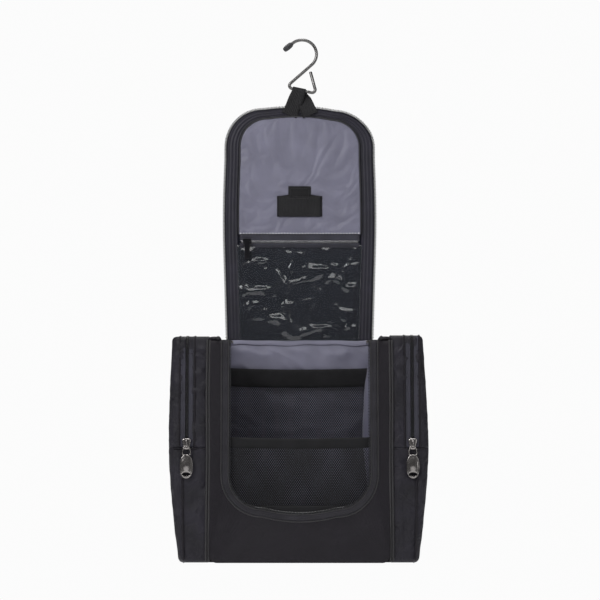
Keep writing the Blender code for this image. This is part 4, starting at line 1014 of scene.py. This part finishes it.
def puff_pocket(P, side, seed):
    """Pushes the faces out a little and creases them, less at the seams and beside the coil."""
    x, y, z = P[:, :, 0], P[:, :, 1], P[:, :, 2]
    out = np.abs(x - CX)
    inner = ramp((out - POCKET_IN) / 8.0)
    crease = folds(y + out, z, 20.0, 45.0, 15.0, seed) * 0.9 + 0.8 * fbm(out, z, y, 26.0, seed)
    on_front = ramp((POCKET_FRONT + 8.0 - y) / 8.0)
    on_back = ramp((y - POCKET_BACK + 8.0) / 8.0)
    on_side = ramp((out - x_out(z, side) + 7.0) / 7.0)
    push = 0.54 * np.sin(np.pi * ramp((z - BASE) / (POCKET_TOP - BASE))) ** 0.6 * inner
    dents = folds(out, z, 35.0, 26.0, 11.0, seed + 40.0) * (0.5 + 0.9 * ramp((z - SEAM - 15.0) / 60.0))
    ends = ramp((z - BASE - 4.0) / 9.0) * ramp((POCKET_TOP - 3.0 - z) / 7.0)
    calm = inner * ends * np.clip((np.abs(out - COIL_X) - 2.0) / 9.0, 0.05, 1.0)
    q = P.copy()
    q[:, :, 1] += on_back * (push + 0.7 * crease * calm)
    q[:, :, 1] -= on_front * (push + (0.9 * crease + 1.7 * dents) * calm)
    q[:, :, 0] += side * on_side * (0.3 * crease - 0.3) * ends
    return q


def close_rows(level, way):
    """Rows that turn a wall over a rounded edge at a level and on to the middle."""
    r = 5.0
    rows = [(level + way * r * (math.sin(a) - 1.0), r * (1 - math.cos(a)), 0.8 * r * (1 - math.cos(a)))
            for a in np.linspace(0, math.pi / 2, 8)[1:]]
    return rows + [(level, q, 0.8 * r) for q in np.linspace(r, (POCKET_BACK - POCKET_FRONT) / 2.0, 12)[1:]]


def zip_line(side, top, dx, proud):
    """A line at dx from the coil's middle, up the front, over the top and down the back."""
    x = CX + side * (COIL_X + dx)
    front, back = POCKET_FRONT - proud, POCKET_BACK + proud
    points = [(x, front, SEAM + 0.5), (x, front, top - 4.0),
              (x, POCKET_FRONT + 4.0 - proud * 0.3, top + proud),
              (x, POCKET_BACK - 4.0 + proud * 0.3, top + proud),
              (x, back, top - 4.0), (x, back, SEAM + 0.5)]
    return at_counts(smooth_line(points, 2.0), 160)


def zip_normals(line):
    n = unit(np.cross(unit(np.gradient(line, axis=0)), np.array([1.0, 0.0, 0.0])))
    return -n if n[3][1] > 0 else n


for label, side in SIDES:
    seed = 100.0 + side * 9.0
    flap, cloths = "flap_" + label, [POCKET_CLOTH_PAINTED_SHADE, LINING]
    walls = [(z, 0.0, 0.0) for z in np.linspace(SEAM, BASE + 5.0, 60)] + close_rows(BASE + 0.3, -1.0)
    lower = puff_pocket(pocket_grid(side, walls), side, seed)
    cup = open_sheet("pocket_cup_" + label, lower, cloths, side > 0)
    top = POCKET_TOP + (2.2 if side < 0 else 3.4)
    walls = [(z, 0.0, 0.0) for z in np.linspace(SEAM + 0.3, top - 5.0, 58)] + close_rows(top, 1.0)
    upper = puff_pocket(pocket_grid(side, walls), side, seed)
    strip = np.concatenate([upper[:, :STRIP_COLUMNS], upper[::-1, :-STRIP_COLUMNS - 1:-1]], axis=0)
    inner = open_sheet("pocket_strip_" + label, strip, cloths, side < 0)
    outer = open_sheet("pocket_flap_" + label, upper[:, STRIP_COLUMNS:-STRIP_COLUMNS], cloths, side < 0)
    for obj in (cup, inner, outer):
        edit_mesh(obj, lambda bm: weld(bm, 2e-5))
        thicken(obj, 1.1).material_offset = 1
    put(cup, "body", "side_pocket_" + label)
    put(inner, "body", "side_strip_" + label)
    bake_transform(outer)
    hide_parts("side_flap_" + label)

    # Zip tapes and welts either side of the coil, and the coil's teeth
    for place, body, far, near in (("in_", "body", -7.6, -1.4), ("out_", flap, 7.2, 1.4)):
        line = zip_line(side, top, far, 1.0)
        put(band("pocket_tape_" + place + label, line, zip_line(side, top, near, 0.85),
                 zip_normals(line), 0.5, TAPE, 5, 0.2), body)
    for k, (body, dx) in enumerate((("body", -8.2), (flap, 7.8))):
        put(sweep("pocket_welt_%s_%d" % (label, k), zip_line(side, top, dx, 1.0), 0.95, SHELL, 10), body)
    line = zip_line(side, top, 0.0, 0.95)
    put(teeth("pocket_teeth_" + label, line, zip_normals(line), 1.35, (0.85, 2.8, 1.5), COIL),
        "body", "side_coil_" + label)
    line = zip_line(side, top, -6.6, 1.45)
    put(dashes("tape_stitches_" + label, line, zip_normals(line), 2.8, (1.9, 0.4, 0.35), THREAD), "body")
    # Seam across the strip, and down the lower front edge to the round foot
    x = np.linspace(POCKET_IN + 0.5, COIL_X + 14.0, 20)
    line = line3(CX + side * x, POCKET_FRONT - 0.6 - 0.5 * np.sin((x - POCKET_IN) / 12.0), SEAM - 0.9)
    put(sweep("pocket_seam_" + label, line, 0.7, SHELL, 8), "body")
    k = np.linspace(0, 1, 60)
    z = SEAM - 2.0 - k * (SEAM - BASE - 5.0)
    turn = ramp(1.0 - (z - BASE) / 7.5)
    y = POCKET_FRONT - 1.2 + 6.5 * (1.0 - np.sqrt(1.0 - turn ** 2))
    line = line3(CX + side * (COIL_X + 4.6 - 2.0 * k), y, z)
    put(sweep("pocket_edge_seam_" + label, line, 0.9, SHELL, 8), "body")


# ------------------------------------------------------------------ metal: sliders, links and pulls
def slab(name, cx, cy, rows, mat):
    """A rounded bar from rows of (height, half width, half depth)."""
    a = np.linspace(0, 2 * np.pi, 32, endpoint=False)
    fx, fy = (np.sign(f) * np.abs(f) ** (2 / 2.6) for f in (np.cos(a), np.sin(a)))
    return loft(name, np.array([line3(cx + fx * w, cy + fy * d, z) for z, w, d in rows]), mat)


def pull_plate(name, low, high, mat):
    """Oval pull with a domed face and a slot near its foot."""
    high = high - np.array([0.0, 0.0, 0.9])
    cx, cz = (low[0] + high[0]) / 2, (low[2] + high[2]) / 2
    a, b = (high[0] - low[0]) / 2, (high[2] - low[2]) / 2
    slot_z = low[2] + 0.175 * (high[2] - low[2]) - cz
    turn = np.linspace(0, 2 * np.pi, 72, endpoint=False)
    dx, dz = np.cos(turn), np.sin(turn)
    slot = 1.0 / np.sqrt((dx / 4.3) ** 2 + (dz / 2.0) ** 2)

    def oval(x, z):
        return (np.abs(x) / a) ** 2.3 + (np.abs(z) / b) ** 2.3

    near, far = np.zeros(len(turn)), np.full(len(turn), 3 * b)
    for _ in range(40):
        half_way = (near + far) / 2
        inside = oval(dx * half_way, slot_z + dz * half_way) < 1.0
        near, far = np.where(inside, half_way, near), np.where(inside, far, half_way)

    def face(x, z, e, h):
        rim = ramp((1 - e) / 0.25) ** 0.5 * np.clip(h, 0.25, 1) ** 0.5
        dome = 1.1 * np.exp(-((x / (0.62 * a)) ** 2 + ((z - 0.12 * b) / (0.5 * b)) ** 2) * 1.3)
        groove = 0.27 * np.exp(-((e - 0.62) / 0.12) ** 2)
        return low[1] + 0.55 - 0.55 * rim - dome + groove

    def ring(t, flat=False):
        r = slot * (1 - t) + near * t
        x, z = dx * r, slot_z + dz * r
        y = high[1] if flat else face(x, z, oval(x, z), (r - slot) / 1.2)
        return line3(cx + x, y, cz + z)

    steps = np.concatenate([[0.0, 0.02, 0.05], np.linspace(0.1, 0.9, 18), [0.94, 0.97, 0.99, 1.0]])
    rows = [ring(0.0, True)] + [ring(t) for t in steps] + [ring(1.0, True), ring(0.0, True)]
    return loft(name, np.array(rows), mat, cap=False)


for label, _ in SIDES:
    low, high = box_mm("side_slider_" + label)
    cx, cy = (low[0] + high[0]) / 2, (low[1] + high[1]) / 2 + 0.45
    z0, z1, w = low[2], high[2], (high[0] - low[0]) / 2
    rows = [(z1, w * 0.55, 0.5), (z1 - 0.5, w * 0.88, 0.95), (z1 - 1.6, w, 1.2),
            (z1 - 4.5, w * 0.96, 1.2), (z1 - 7.5, w * 0.74, 1.2), (z0 + 2.0, w * 0.7, 1.2),
            (z0 + 0.6, w * 0.64, 0.95), (z0, w * 0.4, 0.5)]
    put(slab("slider_body_" + label, cx, cy, rows, GUN), "side_slider_" + label, "side_slider_" + label)
    bridge = smooth_line([(cx, cy - 1.0, z1 - 1.4), (cx, low[1] + 0.2, z1 - 2.2),
                          (cx, low[1] + 0.1, z0 + 5.0), (cx, low[1] + 0.2, z0 + 3.0),
                          (cx, cy - 1.0, z0 + 2.2)], 0.6, 3)
    put(sweep("slider_bridge_" + label, bridge, 0.95, GUN, 12), "side_slider_" + label)
    low, high = box_mm("pull_link_" + label)
    cx, cy, r = (low[0] + high[0]) / 2, (low[1] + high[1]) / 2, 0.65
    top_w, foot_w = 3.5 - r, (high[0] - low[0]) / 2 - r
    top, foot = high[2] - r, low[2] + r
    loop = smooth_line([(cx, cy, foot), (cx - foot_w, cy, foot), (cx - top_w, cy, top), (cx + top_w, cy, top),
                        (cx + foot_w, cy, foot), (cx, cy, foot)], 0.5, 3)
    put(sweep("link_wire_" + label, loop[:-1], r, GUN, 12, closed=True),
        "link_" + label, "pull_link_" + label)
    put(pull_plate("pull_plate_" + label, *box_mm("pull_tab_" + label), GUN),
        "pull_" + label, "pull_tab_" + label)
recolour(GUN, "main_slider_left", "main_slider_right", "main_pull_left", "main_pull_right")
recolour(DARK_METAL, "pocket_slider", "pocket_pull")

# ------------------------------------------------------------------ stage, light and camera
FLOOR_Z = -860.0
turn = np.linspace(0.0, 2.0 * np.pi, 64, endpoint=False)
disc = np.array([line3(r * np.cos(turn), r * np.sin(turn), FLOOR_Z) for r in (1.0, 400.0, 1100.0, 2250.0)])
loft("studio_floor", disc, new_material("studio_pale", (0.9, 0.9, 0.9), 0.9)[0], cap=False)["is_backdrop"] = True

scene = bpy.context.scene
scene.view_settings.view_transform = "Standard"
world = bpy.data.worlds.new("studio")
scene.world = world
world.use_nodes = True
sky = world.node_tree
glow = sky.nodes["Background"]
glow.inputs["Color"].default_value = (1.0, 1.0, 1.0, 1.0)
glow.inputs["Strength"].default_value = 0.15
seen = add(sky, "ShaderNodeBackground", {"Color": (0.97, 0.97, 0.97, 1.0)}, {})
rays = add(sky, "ShaderNodeLightPath", {}, {})
blend = add(sky, "ShaderNodeMixShader", {}, {0: rays.outputs["Is Camera Ray"], 1: glow.outputs["Background"],
                                             2: seen.outputs["Background"]})
sky.links.new(blend.outputs["Shader"], sky.nodes["World Output"].inputs["Surface"])


def place(name, data):
    obj = bpy.data.objects.new(name, data)
    scene.collection.objects.link(obj)
    return obj


def softbox(name, where, target, size, energy):
    light = bpy.data.lights.new(name, "AREA")
    light.shape = "RECTANGLE"
    light.size, light.size_y = size
    light.energy = energy
    obj = place(name, light)
    obj.location = where
    obj.rotation_euler = (Vector(target) - Vector(where)).to_track_quat("-Z", "Y").to_euler()


softbox("key_left", (-1.3, -1.5, 0.8), (0, -0.04, -0.3), (0.9, 1.3), 25.0)
softbox("fill_right", (1.5, -1.2, 0.1), (0, -0.04, -0.35), (0.7, 1.4), 6.0)
softbox("front_high", (0.15, -2.0, 0.95), (0, -0.04, -0.3), (1.3, 0.5), 7.5)
softbox("back_high", (0.3, 1.6, 0.9), (0, 0.0, -0.3), (1.3, 0.9), 14.0)
sun = bpy.data.lights.new("overhead", "SUN")
sun.energy = 1.9
sun.angle = math.radians(25.0)
place("overhead", sun)

lens = bpy.data.cameras.new("camera")
lens.sensor_width = 36.0
lens.lens = 36.0 * 1897.1 / 600.0      # the focal length fitted to the photo, in pixels of 600
camera = place("camera", lens)
camera.location = (-0.0022, -2.0798, -0.5250)
camera.rotation_euler = (math.radians(90.0 + 6.4026), 0.0, 0.0)
scene.camera = camera

low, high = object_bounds()
